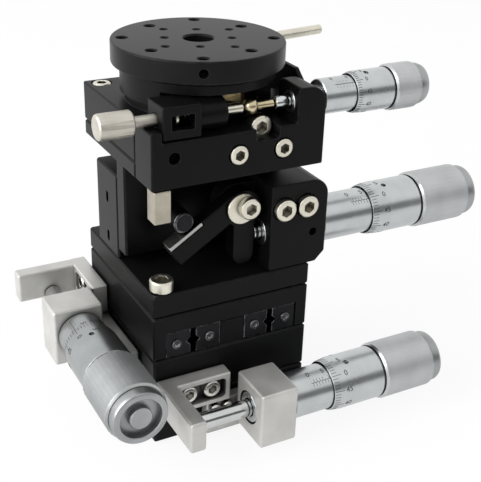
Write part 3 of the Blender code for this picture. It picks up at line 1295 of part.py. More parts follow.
def build():
    black = finish("black_anodised", (0.018, 0.018, 0.02), 0.42, 0.6)
    satin = finish("satin_aluminium", (0.55, 0.56, 0.57), 0.38, 1.0)
    chrome = finish("satin_chrome", (0.68, 0.7, 0.7), 0.26, 1.0)
    steel = finish("ground_steel", (0.42, 0.42, 0.43), 0.3, 1.0)
    nickel = finish("nickel_plated", (0.66, 0.62, 0.54), 0.28, 1.0)
    golden = finish("golden_steel", (0.52, 0.44, 0.3), 0.34, 1.0)

    fine = (FINE_JOINT, FINE_Y, FINE_Z)
    frames = {
        "base": body_frame("base_frame", (0, 0, 0)),
        "x_carriage": body_frame("x_carriage_frame", (0, 0, BASE_HEIGHT)),
        "y_carriage": body_frame("y_carriage_frame", (0, 0, MIDDLE_TOP)),
        "x_mic": body_frame("x_micrometer_frame", (X_JOINT, -AXIS_OUT, AXIS_UP)),
        "y_mic": body_frame("y_micrometer_frame", (-AXIS_OUT, -Y_JOINT, AXIS_UP + STAGE_RISE)),
        "z_mic": body_frame("z_micrometer_frame", (Z_JOINT, Z_AXIS_Y, Z_BASE_TOP + Z_AXIS_UP)),
        "r_mic": body_frame("r_micrometer_frame", fine),
        "z_lever": body_frame("z_lever_frame", (PIVOT_X, LEVER_MIDDLE, PIVOT_Z)),
        "z_slide": body_frame("z_slide_frame", (0, Z_SEAM, Z_PLATE_BOTTOM)),
        "head": body_frame("rotation_frame", (0, 0, ROTARY_TOP)),
        "plunger": body_frame("plunger_frame", (ROD_FLANGE, FINE_Y, FINE_Z)),
        "thumb": body_frame("thumbscrew_frame", (SEAT_LEFT, FINE_Y, FINE_Z)),
    }
    bpy.context.view_layer.update()
    ride(frames["x_carriage"], frames["base"])
    ride(frames["x_mic"], frames["base"])
    ride(frames["y_carriage"], frames["x_carriage"])
    ride(frames["y_mic"], frames["x_carriage"])
    for name in ("z_mic", "z_lever", "z_slide"):
        ride(frames[name], frames["y_carriage"])
    for name in ("r_mic", "head", "plunger", "thumb"):
        ride(frames[name], frames["z_slide"])

    def put(carrier, look, *pieces):
        for piece in pieces:
            dress(piece, look)
            ride(piece, frames[carrier])

    depth_sides = ("_back", "_front")
    cross_sides = ("_left", "_right")
    inner = (INNER_NEAR, INNER_FAR, True)
    outer = (OUTER_NEAR, OUTER_FAR, False)
    inset = SEAT_GAP / 2

    put("base", black, base_plate())
    put("base", satin, micrometer_block("x_mic_block", X_DRIVE, X_BLOCK))
    travel = (X_SLIDE, X_FIXED_MIDDLE, X_FIXED_LENGTH)
    put("base", steel, *rail_pair("x_rail_fixed", depth_sides, *inner, *travel))
    travel = (X_SLIDE, 0, RAIL_LENGTH)
    put("x_carriage", steel, *rail_pair("x_rail_moving", depth_sides, *outer, *travel))
    travel = (X_SLIDE, X_CAGE_MIDDLE, CAGE_LENGTH)
    cages = roller_cages("x_roller_cage", depth_sides, *travel, ROLLER_COUNT)
    put("x_carriage", steel, *cages)
    joint = (X_JOINT, -AXIS_OUT, AXIS_UP)
    ends = (X_ARM + SEAT_GAP, X_BLOCK + inset, X_BLOCK + BLOCK_LENGTH + SEAT_GAP)
    sleeve, spindle, thimble = micrometer("x", LARGE, joint, *ends, X_DRIVE)
    put("base", chrome, sleeve)
    put("x_mic", chrome, spindle, thimble)

    put("x_carriage", black, middle_plate())
    put("x_carriage", satin, anvil_bracket("x_anvil_bracket", X_DRIVE, X_ARM))
    put("x_carriage", satin, micrometer_block("y_mic_block", Y_DRIVE, Y_BLOCK))
    travel = (Y_SLIDE, 0, RAIL_LENGTH)
    put("x_carriage", steel, *rail_pair("y_rail_fixed", cross_sides, *inner, *travel))
    put("y_carriage", steel, *rail_pair("y_rail_moving", cross_sides, *outer, *travel))
    cages = roller_cages("y_roller_cage", cross_sides, Y_SLIDE, 0, CAGE_LENGTH, ROLLER_COUNT)
    put("y_carriage", steel, *cages)
    joint = (Y_JOINT, -AXIS_OUT, AXIS_UP)
    ends = (Y_ARM + SEAT_GAP, Y_BLOCK + inset, Y_BLOCK + BLOCK_LENGTH + SEAT_GAP)
    sleeve, spindle, thimble = micrometer("y", LARGE, joint, *ends, Y_DRIVE)
    put("x_carriage", chrome, sleeve)
    put("y_mic", chrome, spindle, thimble)

    put("y_carriage", black, top_plate(), z_base_plate(), z_column(), z_mic_block())
    put("y_carriage", satin, anvil_bracket("y_anvil_bracket", Y_DRIVE, Y_ARM))
    put("y_carriage", nickel, z_corner_screw(), lever_pivot())
    length = COLUMN_HEIGHT - 2 * Z_RAIL_CLEAR
    middle = COLUMN_BOTTOM + COLUMN_HEIGHT / 2
    up_sides = ("_right", "_left")
    put("y_carriage", steel, *rail_pair("z_rail_fixed", up_sides, *outer, Z_SLIDE, middle, length))
    low = Z_PLATE_BOTTOM + EDGE_ROUND
    high = UPPER_BOTTOM - SEAT_GAP
    travel = (Z_SLIDE, (low + high) / 2, high - low)
    put("z_slide", steel, *rail_pair("z_rail_moving", up_sides, *inner, *travel))
    middle = (low + COLUMN_TOP) / 2
    cages = roller_cages("z_roller_cage", up_sides, Z_SLIDE, middle, Z_CAGE_LENGTH, Z_ROLLER_COUNT)
    put("z_slide", steel, *cages)

    joint = (Z_JOINT, Z_AXIS_Y, Z_BASE_TOP + Z_AXIS_UP)
    tip = PIVOT_X + RIGHT_ARM_SHIFT + RIGHT_ARM_HALF + FOOT_GAP
    ends = (tip, Z_BLOCK_LEFT + inset, Z_BLOCK_RIGHT + SEAT_GAP)
    sleeve, spindle, thimble = micrometer("z", LARGE, joint, *ends)
    put("y_carriage", chrome, sleeve)
    put("z_mic", chrome, spindle, thimble)
    put("z_lever", black, z_lever())
    put("z_lever", steel, lever_wear_strip())

    put("z_slide", black, z_slide_plate(), rotary_base(), front_bracket(), plunger_housing())
    put("z_slide", steel, lift_pin())
    put("z_slide", nickel, stop_post(), *bracket_screws())
    ends = (ARM_RIGHT + SEAT_GAP, HOLDER_LEFT + inset, FRONT_RIGHT + SEAT_GAP)
    sleeve, spindle, thimble = micrometer("r", SMALL, fine, *ends)
    put("z_slide", chrome, sleeve)
    put("r_mic", chrome, spindle, thimble)
    put("plunger", nickel, plunger_rod())
    put("plunger", steel, plunger_spring())
    put("thumb", nickel, spring_seat(), thumbscrew())
    put("head", golden, tangent_arm())
    put("head", nickel, handle_rod())
    put("head", black, platform())


build()
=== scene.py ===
import math

import bmesh
import bpy
from mathutils import Matrix, Vector


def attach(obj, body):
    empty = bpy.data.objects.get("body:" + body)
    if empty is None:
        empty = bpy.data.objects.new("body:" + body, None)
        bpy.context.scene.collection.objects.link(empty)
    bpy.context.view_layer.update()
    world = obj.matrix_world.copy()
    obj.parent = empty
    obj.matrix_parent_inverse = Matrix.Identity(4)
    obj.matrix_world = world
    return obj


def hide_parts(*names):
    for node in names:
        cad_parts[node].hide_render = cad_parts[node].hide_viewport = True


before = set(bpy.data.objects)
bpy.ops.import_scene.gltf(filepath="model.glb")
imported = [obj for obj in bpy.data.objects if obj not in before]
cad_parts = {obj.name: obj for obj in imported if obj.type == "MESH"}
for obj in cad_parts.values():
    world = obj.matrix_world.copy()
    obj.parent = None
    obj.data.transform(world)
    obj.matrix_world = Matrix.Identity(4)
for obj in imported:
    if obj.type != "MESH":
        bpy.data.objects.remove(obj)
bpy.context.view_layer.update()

# ---------------------------------------------------------------------------------------
# Square plates and the column. Wrought aluminium, milled on all sides, bead-blasted fine
# and dyed black in the anodising bath. The edges are broken by hand and rub a little paler.
# The stage plates stack on crossed-roller rails, and the column stands on the top one.
MM = 0.001
PLATES = ("base_plate", "middle_plate", "top_plate", "z_base_plate")
UPRIGHTS = ("z_column", "z_slide_plate")
RUB_PATCH = 2.2
CLOUD_ENDS = (0.3, 0.7)
DYE_CLOUD = 14.0
BLAST_GRAIN = 0.3


def linear(code):
    """An sRGB hex colour as linear red, green, blue and alpha."""
    parts = [int(code[at : at + 2], 16) / 255 for at in (1, 3, 5)]
    light = [part / 12.92 if part <= 0.04045 else ((part + 0.055) / 1.055) ** 2.4 for part in parts]
    return (*light, 1.0)


def add(tree, kind, inputs=(), **settings):
    """Adds one node: its settings, then its inputs, each a value or a socket to link from."""
    made = tree.nodes.new(kind)
    for name, value in settings.items():
        setattr(made, name, value)
    for name, value in dict(inputs).items():
        if isinstance(value, bpy.types.NodeSocket):
            tree.links.new(value, made.inputs[name])
        else:
            made.inputs[name].default_value = value
    return made


def new_look(name, **sockets):
    """A material, its tree, its shader with the even values set, and its object coordinates."""
    look = bpy.data.materials.new(name)
    look.use_nodes = True
    tree = look.node_tree
    shader = tree.nodes["Principled BSDF"]
    for socket, value in sockets.items():
        shader.inputs[socket.replace("_", " ")].default_value = value
    return look, tree, shader, add(tree, "ShaderNodeTexCoord").outputs["Object"]


def reckon(tree, operation, *parts):
    """The result of one sum on values and sockets."""
    return add(tree, "ShaderNodeMath", dict(enumerate(parts)), operation=operation).outputs[0]


def noise(tree, where, size, detail=3.0):
    """Noise whose largest blots are about size millimetres across."""
    sizes = {"Vector": where, "Scale": 1 / (size * MM), "Detail": detail}
    return add(tree, "ShaderNodeTexNoise", sizes).outputs[0]


def ramp(tree, value, low, high, to_low=0.0, to_high=1.0):
    """A value carried from one range into another, and held inside it."""
    ends = {"Value": value, "From Min": low, "From Max": high, "To Min": to_low, "To Max": to_high}
    return add(tree, "ShaderNodeMapRange", ends).outputs[0]


def blend(tree, share, *ends):
    """A colour between two, each a hex code, a colour or a socket."""
    first, second = (linear(end) if isinstance(end, str) else end for end in ends)
    mix = add(tree, "ShaderNodeMix", {0: share, 6: first, 7: second}, data_type="RGBA")
    return mix.outputs[2]


def worn_edges(tree, reach, where):
    """The normal eased over an edge, and a mask of the edge broken up as handling rubs it."""
    eased = add(tree, "ShaderNodeBevel", {"Radius": reach * MM}, samples=4).outputs["Normal"]
    flat = add(tree, "ShaderNodeNewGeometry").outputs["True Normal"]
    turn = add(tree, "ShaderNodeVectorMath", {0: eased, 1: flat}, operation="DOT_PRODUCT")
    edge = ramp(tree, turn.outputs["Value"], 0.99, 0.84)
    broken = ramp(tree, noise(tree, where, RUB_PATCH), 0.35, 0.62)
    return eased, reckon(tree, "MULTIPLY", edge, broken)


def dyed(tree, where, cloud, share, colour, rubbed, edge):
    """The dye's tone: cloudy between the colour and a share of it, paler on rubbed edges."""
    patch = ramp(tree, noise(tree, where, cloud, 4.0), *CLOUD_ENDS)
    deep = (*(share * part for part in linear(colour)[:3]), 1.0)
    return blend(tree, edge, blend(tree, patch, deep, colour), rubbed)


def link_look(tree, shader, colour, gloss, bump):
    """Gives a shader its colour, its gloss and a relief with these settings."""
    relief = add(tree, "ShaderNodeBump", bump).outputs[0]
    for name, socket in (("Base Color", colour), ("Roughness", gloss), ("Normal", relief)):
        tree.links.new(socket, shader.inputs[name])


def black_anodised(name, colour, rubbed, rough=0.36, shine=0.16):
    """Blasted and dyed aluminium: a soft even black, greyer towards a grazing view. The real
    grain is near 0.1 mm and is drawn at three times that, so that it shows."""
    look, tree, shader, where = new_look(name, IOR=1.4, Specular_IOR_Level=shine)
    eased, edge = worn_edges(tree, 0.35, where)
    tone = dyed(tree, where, DYE_CLOUD, 0.72, colour, rubbed, edge)
    blast = noise(tree, where, BLAST_GRAIN, 2.0)
    gloss = ramp(tree, blast, 0.0, 1.0, rough - 0.05, rough + 0.09)
    bump = {"Strength": 0.22, "Distance": 0.02 * MM, "Height": blast, "Normal": eased}
    link_look(tree, shader, tone, gloss, bump)
    return look


def dress(look, *names):
    """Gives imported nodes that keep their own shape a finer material."""
    for name in names:
        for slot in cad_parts[name].material_slots:
            slot.material = look


plate_black = black_anodised("plate_black", "#101011", "#333335")
# A darker copy of the plates' black for the column, the slide plate and the crank, which stand in
# the stage's shade: painted shade
shaded_black = black_anodised("shaded_black", "#070708", "#2c2c2e", rough=0.34, shine=0.2)
dress(plate_black, *PLATES)
dress(shaded_black, *UPRIGHTS)

# ---------------------------------------------------------------------------------------
# Crossed-roller rails and cages. Hardened bearing steel, ground and then blackened, with
# corners rubbed bright: partly real wear, and partly painted highlights along the rails'
# edges and round the rims of the stop screws. A stop screw in each end keeps the cage in,
# but not at the left of the fixed X rails, which the Y flange closes. The cages are pressed steel
# strip.
SIDES = {"x": ("back", "front"), "y": ("left", "right"), "z": ("left", "right")}
CAGE_NODES = [f"{drive}_roller_cage_{side}" for drive in SIDES for side in SIDES[drive]]
RAIL_NODES = [
    f"{drive}_rail_{state}_{side}"
    for drive in SIDES
    for state in ("fixed", "moving")
    for side in SIDES[drive]
]
RIGHT, FRONT, UP = (1, 0, 0), (0, -1, 0), (0, 0, 1)
RAIL_END = 24.5
FIXED_RAIL = 7.3
MOVING_RAIL = 17.7
X_RAIL_HEIGHT = 18.3
Y_RAIL_HEIGHT = 32.3
STOP_HEAD = 1.5
STOP_LENGTH = 0.45
STOP_STEPS = 32
# Dark grey that sockets and inner corners of bright metal are drawn towards: painted shade
RECESS_SHADE = "#16161a"
METAL_CLOUD = 7.0
SHARP = 32


def bright_metal(
    name, colour, shade, rough, lay=(1, 1, 1), grain=0.25, reach=0.25, rub="#f2f2f0",
    mark=0.05, metal=1.0, shade_reach=1.6
):
    """Bare or plated metal: reflective, with fine marks that run the way the tool went. lay
    is the stretch of the marks on each axis, and a small number draws them out long. Sockets
    and inner corners, within the given reach of a wall, are painted darker: painted shade."""
    look, tree, shader, where = new_look(name, Metallic=metal)
    eased, edge = worn_edges(tree, reach, where)
    drawn = add(tree, "ShaderNodeMapping", {"Vector": where, "Scale": lay}).outputs[0]
    marks = noise(tree, drawn, grain)
    share = ramp(tree, noise(tree, where, METAL_CLOUD), *CLOUD_ENDS)
    # Edges paler: rubbed wear, and on the rails and stop screws also painted highlights
    wear_and_glint = blend(tree, edge, blend(tree, share, shade, colour), rub)
    # Ambient occlusion darkens the colour near walls: painted shade in sockets, pockets and corners
    open_share = add(tree, "ShaderNodeAmbientOcclusion", {"Distance": shade_reach * MM}, samples=8)
    unshaded = ramp(tree, open_share.outputs["AO"], 0.3, 0.75, 0.1)
    mixed = reckon(tree, "MULTIPLY_ADD", marks, 0.7, share)
    gloss = ramp(tree, mixed, 0.0, 1.6, rough - mark, rough + mark)
    bump = {"Strength": 2.4 * mark, "Distance": 0.012 * MM, "Height": marks, "Normal": eased}
    link_look(tree, shader, blend(tree, unshaded, RECESS_SHADE, wear_and_glint), gloss, bump)
    return look


def turned(profile, steps=96):
    """A shape turned from (radius, height) points in millimetres, down its outer side. It is
    closed on the axis, or through its bore where the first point is off the axis."""
    shape = bmesh.new()
    points = [shape.verts.new((radius, 0, height)) for radius, height in profile]
    edges = [shape.edges.new(pair) for pair in zip(points, points[1:])]
    if profile[0][0] > 0:
        edges.append(shape.edges.new((points[-1], points[0])))
    ring = {"cent": (0, 0, 0), "axis": UP, "angle": math.tau, "steps": steps}
    bmesh.ops.spin(shape, geom=points + edges, use_merge=True, **ring)
    bmesh.ops.remove_doubles(shape, verts=shape.verts, dist=0.001)
    bmesh.ops.recalc_face_normals(shape, faces=shape.faces)
    return shape


def move(shape, matrix):
    """Moves a whole shape by a matrix."""
    bmesh.ops.transform(shape, matrix=matrix, verts=shape.verts)
    return shape


def aim(shape, spot, direction):
    """Turns a shape's own Z to a direction and moves it to a spot."""
    turn = Vector(direction).to_track_quat("Z", "Y").to_matrix().to_4x4()
    return move(shape, Matrix.Translation(Vector(spot)) @ turn)


def as_mesh(name, shape):
    """A shape's mesh. The shape itself is freed."""
    mesh = bpy.data.meshes.new(name)
    shape.to_mesh(mesh)
    shape.free()
    return mesh


def as_object(name, data):
    """A new object in the scene."""
    made = bpy.data.objects.new(name, data)
    bpy.context.scene.collection.objects.link(made)
    return made


def merge(shapes):
    """Several shapes as one."""
    whole = bmesh.new()
    for shape in shapes:
        mesh = as_mesh("part", shape)
        whole.from_mesh(mesh)
        bpy.data.meshes.remove(mesh)
    return whole


def settle(name, shape, body, look, slot, *nodes):
    """Makes a piece of a shape in millimetres, and lets it ride on a body."""
    bmesh.ops.scale(shape, vec=(MM, MM, MM), verts=shape.verts)
    mesh = as_mesh(name, shape)
    mesh.shade_smooth()
    mesh.set_sharp_from_angle(angle=math.radians(SHARP))
    mesh.materials.append(look)
    piece = as_object(name, mesh)
    piece.modifiers.new("Even shading", "WEIGHTED_NORMAL").keep_sharp = True
    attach(piece, body)
    if nodes:
        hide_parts(*nodes)
    return piece


def stop_screw(spot, direction):
    """The flat cheese head that closes a rail's end, with its driver hole."""
    profile = [
        (0, STOP_LENGTH - 0.25),
        (0.6, STOP_LENGTH - 0.25),
        (0.7, STOP_LENGTH),
        (STOP_HEAD - 0.15, STOP_LENGTH),
        (STOP_HEAD, STOP_LENGTH - 0.15),
        (STOP_HEAD, -0.05),
        (0, -0.05),
    ]
    return aim(turned(profile, STOP_STEPS), spot, direction)


# Broad, pale edges on the rails and stop screws: wear, and painted highlights on edges and rims
rail_steel = bright_metal(
    "rail_steel", "#2c2c2e", "#202022", 0.34, grain=0.4, reach=0.45, rub="#d2d2d4"
)
cage_steel = bright_metal("cage_steel", "#8b8a88", "#6d6c6a", 0.3, grain=0.3)
stop_steel = bright_metal(
    "stop_steel", "#454547", "#343436", 0.28, grain=0.2, reach=0.5, rub="#eaeaec"
)
dress(rail_steel, *RAIL_NODES)
dress(cage_steel, *CAGE_NODES)
RAIL_ROWS = (
    ("x", "fixed", "base", FIXED_RAIL),
    ("x", "moving", "x_carriage", MOVING_RAIL),
    ("y", "fixed", "x_carriage", FIXED_RAIL),
    ("y", "moving", "y_carriage", MOVING_RAIL),
)
for way in (-1, 1):
    for drive, label, body, out in RAIL_ROWS:
        if way < 0 and (drive, label) == ("x", "fixed"):
            continue
        if drive == "x":
            spots = [(way * RAIL_END, side * out, X_RAIL_HEIGHT) for side in (-1, 1)]
            end = "right" if way > 0 else "left"
        else:
            spots = [(side * out, way * RAIL_END, Y_RAIL_HEIGHT) for side in (-1, 1)]
            end = "back" if way > 0 else "front"
        direction = (way, 0, 0) if drive == "x" else (0, way, 0)
        heads = merge([stop_screw(spot, direction) for spot in spots])
        settle(f"{drive}_rail_stops_{label}_{end}", heads, body, stop_steel, "steel")

# ---------------------------------------------------------------------------------------
# Side brackets of the two lower drives. Aluminium blocks, milled, brushed to a soft satin
# and anodised clear: on each carriage an L whose arm the spindle pushes, and opposite it
# the block that clamps the micrometer, with a flange that is screwed to the plate behind.
Y_ABOVE_X = 14.0
X_DRIVE = Matrix.Identity(4)
Y_DRIVE = Matrix.Translation((0, 0, Y_ABOVE_X)) @ Matrix.Rotation(-math.pi / 2, 4, "Z")
FACE = 25.3
BRACKET_ROUND = 0.8
FLANGE_ROUND = 0.5
ANVIL = {"arm": 4.8, "out": 48.5, "low": 12.5, "high": 22.0, "length": 21.4, "flange": 5.0}
POCKET = {"lip": 1.5, "depth": 3.4, "corner": 1.4}
CLAMP = {"length": 11.8, "back": 30.8, "front": 46.0, "low": 4.5, "high": 22.3, "bore": 5.05}
CLAMP_FLANGE = {"deep": 3.7, "low": 1.0, "high": 12.2, "left": 8.8, "right": 14.0}
DRIVE_OUT = 38.0
DRIVE_UP = 14.0
ANVIL_SCREWS = (3.6, 11.0)
FLANGE_SCREWS = (-2.6, -6.6)
FLANGE_SCREW_UP = 10.1
# Head radius, head length and shank radius of the cap screws
M2_CAP = (1.75, 1.8, 0.95)
M3_CAP = (2.75, 2.9, 1.3)


def slab(low, high, edge=0.0, segments=3):
    """A box between two corners, its edges rounded if asked."""
    shape = bmesh.new()
    bmesh.ops.create_cube(shape, size=1.0)
    bmesh.ops.scale(shape, vec=Vector(high) - Vector(low), verts=shape.verts)
    bmesh.ops.translate(shape, vec=(Vector(high) + Vector(low)) / 2, verts=shape.verts)
    if edge:
        ease(shape, shape.edges[:], edge, segments)
    return shape


def ease(shape, edges, width, segments=3):
    """Rounds edges of a shape."""
    sizes = {"offset": width, "segments": segments, "profile": 0.5, "clamp_overlap": True}
    bmesh.ops.bevel(shape, geom=edges, affect="EDGES", material=-1, **sizes)


def ease_corners(shape, width, segments=3):
    """Rounds a block's edges that run along Y."""
    corners = [edge for edge in shape.edges if abs((edge.verts[0].co - edge.verts[1].co).y) > 1]
    ease(shape, corners, width, segments)
    return shape


def flute(shape, radius, steps, share):
    """Draws in every other row of points past a radius, as the grooves of a straight knurl."""
    rows = [
        vert
        for vert in shape.verts
        if Vector(vert.co.xy).length > radius
        and round(math.atan2(vert.co.y, vert.co.x) / math.tau * steps) % 2
    ]
    bmesh.ops.scale(shape, vec=(share, share, 1), verts=rows)


def carve(shape, tools, operation="DIFFERENCE"):
    """Cuts tools out of a shape, or joins them to it."""
    objects = [as_object("carving", as_mesh("carving", piece)) for piece in [shape, *tools]]
    for tool in objects[1:]:
        step = objects[0].modifiers.new("carve", "BOOLEAN")
        step.operation = operation
        step.object = tool
        step.solver = "EXACT"
    result = bmesh.new()
    result.from_object(objects[0], bpy.context.evaluated_depsgraph_get())
    for item in objects:
        mesh = item.data
        bpy.data.objects.remove(item)
        bpy.data.meshes.remove(mesh)
    return result


def pin(radius, low, high, spot, direction, steps=48):
    """A plain round tool along a direction, from low to high."""
    shape = bmesh.new()
    sizes = {"radius1": radius, "radius2": radius, "depth": high - low}
    bmesh.ops.create_cone(shape, cap_ends=True, segments=steps, **sizes)
    bmesh.ops.translate(shape, vec=(0, 0, (low + high) / 2), verts=shape.verts)
    return aim(shape, spot, direction)


def anvil_bracket(arm):
    """The L: an arm that stands out, and a flange with a milled pocket for its screws."""
    left = arm - ANVIL["arm"]
    right = left + ANVIL["length"]
    front = -FACE - ANVIL["flange"]
    upright = slab((left, -ANVIL["out"], ANVIL["low"]), (arm, -FACE, ANVIL["high"]), BRACKET_ROUND)
    flange = slab((left, front, ANVIL["low"]), (right, -FACE, ANVIL["high"]), FLANGE_ROUND)
    low = (arm + POCKET["lip"] / 2, front - 4, ANVIL["low"] + POCKET["lip"])
    high = (right - POCKET["lip"], front + POCKET["depth"], ANVIL["high"] - POCKET["lip"])
    pocket = ease_corners(slab(low, high), POCKET["corner"], 5)
    return carve(carve(upright, [flange], "UNION"), [pocket])


def micrometer_block(left):
    """The block that holds a micrometer's stem, its neck and its flange on the plate."""
    right = left + CLAMP["length"]
    seat = -FACE - CLAMP_FLANGE["deep"]
    low = (left, -CLAMP["front"], CLAMP["low"])
    body = slab(low, (right, -CLAMP["back"], CLAMP["high"]), BRACKET_ROUND)
    low = (left + 0.5, -CLAMP["back"] - 1, CLAMP["low"] + 0.5)
    neck = slab(low, (right - 0.5, seat + 1, CLAMP_FLANGE["high"] - 0.5))
    low = (left - CLAMP_FLANGE["left"], seat, CLAMP_FLANGE["low"])
    flange = slab(low, (right + CLAMP_FLANGE["right"], -FACE, CLAMP_FLANGE["high"]), FLANGE_ROUND)
    bore = pin(CLAMP["bore"], -4, CLAMP["length"] + 4, (left, -DRIVE_OUT, DRIVE_UP), RIGHT, 64)
    return carve(carve(body, [neck, flange], "UNION"), [bore])


def cap_screw(head, length, shank, grip, spot, direction, knurl=0.12):
    """A socket head cap screw: knurled head, chamfered rim and a deep hexagon socket."""
    steps = max(28, round(math.tau * head / 0.32))
    steps += steps % 2
    profile = [
        (0, length),
        (head - 0.45, length),
        (head - 0.1, length - 0.3),
        (head, length - 0.42),
        (head, 0.35),
        (head - 0.1, 0.05),
        (head - 0.2, 0),
        (shank, 0),
        (shank, -grip),
        (0, -grip),
    ]
    shape = turned(profile, steps)
    flute(shape, head - 0.01, steps, 1 - knurl / head)
    key = pin(head * 0.56, length * 0.3, length + 2, (0, 0, 0), UP, 6)
    return aim(carve(shape, [key]), spot, direction)


# The long shade reach paints the brackets' screw pockets dark: painted shade
satin = bright_metal(
    "satin_aluminium", "#d0cfcc", "#c2c1be", 0.5, (0.15, 1, 1), grain=0.3, mark=0.04,
    metal=0.7, shade_reach=5.0
)
screw_steel = bright_metal("screw_steel", "#dcdad4", "#c4c2bb", 0.18, grain=0.15)
for prefix, place, arm, left, carriage, fixed in (
    ("x", X_DRIVE, -19.6, -1.2, "x_carriage", "base"),
    ("y", Y_DRIVE, -26.2, -11.0, "y_carriage", "x_carriage"),
):
    name = prefix + "_anvil_bracket"
    settle(name + "_milled", move(anvil_bracket(arm), place), carriage, satin, "satin", name)
    name = prefix + "_mic_block"
    settle(name + "_milled", move(micrometer_block(left), place), fixed, satin, "satin", name)
    floor = -FACE - ANVIL["flange"] + POCKET["depth"]
    for label, along in zip(("left", "right"), ANVIL_SCREWS):
        spot = (arm + along, floor, (ANVIL["low"] + ANVIL["high"]) / 2)
        shape = move(cap_screw(*M3_CAP, 3.0, spot, FRONT), place)
        settle(prefix + "_anvil_screw_" + label, shape, carriage, screw_steel, "nickel")
    for label, along in zip(("right", "left"), FLANGE_SCREWS):
        spot = (left + along, -FACE - CLAMP_FLANGE["deep"], FLANGE_SCREW_UP)
        shape = move(cap_screw(*M2_CAP, 3.0, spot, FRONT, 0.08), place)
        settle(prefix + "_flange_screw_" + label, shape, fixed, screw_steel, "nickel")

# ---------------------------------------------------------------------------------------
# Micrometer heads, three large and a small one. Turned steel in satin chrome: a sleeve
# whose stem is clamped in its block, a ground spindle that screws through it, and a thimble
# with an engraved bevel, a fine straight-cut grip, duller than the rest, and an end cap.
# Each size of the large heads, and of the small one
HEAD_SIZES = {
    "spindle": (2.5, 1.75),
    "bore": (2.8, 2.05),
    "stem": (4.75, 3.4),
    "sleeve": (6.9, 5.0),
    "inside": (12.0, 8.0),
    "edge": (7.5, 5.6),
    "barrel": (8.0, 6.0),
    "bevel": (3.5, 2.4),
    "barrel_end": (17.5, 12.2),
    "groove": (0.6, 0.5),
    "grip": (8.7, 6.7),
    "grip_end": (36.0, 21.6),
    "cavity": (20.0, 11.5),
    "tail": (30.0, 19.0),
    "cap": (7.9, 6.0),
    "cap_length": (3.2, 3.4),
    "cap_edge": (0.9, 1.6),
    "ring": (5.9, 3.2),
    "button": (3.2, 1.8),
    "ring_deep": (2.0, 1.2),
    "set_screw": (6.6, 4.6),
    "digit": (1.7, 1.3),
}
LARGE, SMALL = ({name: pair[at] for name, pair in HEAD_SIZES.items()} for at in (0, 1))
KNURL_PITCH = 0.7
KNURL_DEEP = 0.11
THIMBLE_MARKS = 50
SLEEVE_FROM = -6.5
SLEEVE_MARKS = 26
MARK_WIDE = 0.13
MARK_HIGH = 0.025
RUNNING_GAP = 0.3
SET_SCREW = 0.72
SET_SCREW_TURN = Matrix.Rotation(math.radians(-24), 4, "Z")


def sleeve_shape(size, stem, shoulder):
    """The fixed sleeve: stem, shoulder, barrel and the bore for the spindle."""
    radius, neck = size["sleeve"], size["stem"]
    profile = [(radius, size["inside"]), (radius, shoulder + 0.25), (radius - 0.25, shoulder)]
    profile += [(neck, shoulder), (neck, stem + 0.4), (neck - 0.4, stem)]
    profile += [(size["bore"], stem), (size["bore"], size["inside"])]
    return turned(profile)


def spindle_shape(size, tip):
    """The ground spindle with its lapped end."""
    radius = size["spindle"]
    profile = [(0, size["tail"]), (radius, size["tail"]), (radius, tip + 0.4)]
    profile += [(radius - 0.12, tip + 0.12), (radius - 0.4, tip), (0, tip)]
    return turned(profile, 64)


def thimble_shape(size):
    """The thimble: bevel, barrel, groove, knurled grip and end cap, hollow over the sleeve."""
    groove, barrel, barrel_end = size["groove"], size["barrel"], size["barrel_end"]
    grip, grip_low, grip_end = size["grip"], barrel_end + groove, size["grip_end"]
    cap, edge, high = size["cap"], size["cap_edge"], grip_end + size["cap_length"]
    button, ring, floor = size["button"], size["ring"], high - size["ring_deep"]
    bore, sleeve = size["spindle"] + RUNNING_GAP, size["sleeve"] + RUNNING_GAP
    tail = size["tail"] + RUNNING_GAP
    profile = [(0, high - 0.1), (button - 0.3, high), (button, high - 0.3), (button, floor)]
    profile += [(ring, floor), (ring, high - 0.15), (ring + 0.15, high), (cap - edge, high)]
    profile += [(cap - edge * 0.29, high - edge * 0.29), (cap, high - edge)]
    profile += [(cap, grip_end + 0.2), (cap - 0.15, grip_end), (grip - groove, grip_end)]
    profile += [(grip, grip_end - groove), (grip, grip_low + groove), (grip - groove, grip_low)]
    profile += [(barrel - groove, grip_low), (barrel - groove, barrel_end)]
    profile += [(barrel - 0.15, barrel_end), (barrel, barrel_end - 0.15)]
    profile += [(barrel, size["bevel"]), (size["edge"], 0.12), (size["edge"] - 0.1, 0)]
    profile += [(sleeve, 0), (sleeve, size["cavity"]), (bore, size["cavity"])]
    profile += [(bore, tail), (0, tail)]
    steps = 2 * round(math.pi * grip / KNURL_PITCH)
    shape = turned(profile, steps)
    flute(shape, grip - 0.05, steps, 1 - KNURL_DEEP / grip)
    hole = pin(0.8, barrel - 0.7, barrel + 1, (0, 0, size["set_screw"]), RIGHT, 20)
    shape = carve(shape, [move(hole, SET_SCREW_TURN)])
    for face in shape.faces:
        middle = face.calc_center_median()
        knurled = grip_low + groove < middle.z < grip_end - groove
        if knurled and Vector(middle.xy).length > grip - 0.2:
            face.material_index = 1
        if middle.z > grip_end + 0.05:
            face.material_index = 2
    return shape


def grub_screw(size):
    """The little socket screw that locks the thimble on its spindle."""
    barrel = size["barrel"]
    shape = pin(SET_SCREW, barrel - 0.68, barrel - 0.22, (0, 0, 0), UP, 20)
    key = pin(0.4, barrel - 0.5, barrel, (0, 0, 0), UP, 6)
    shape = aim(carve(shape, [key]), (0, 0, size["set_screw"]), RIGHT)
    return move(shape, SET_SCREW_TURN)


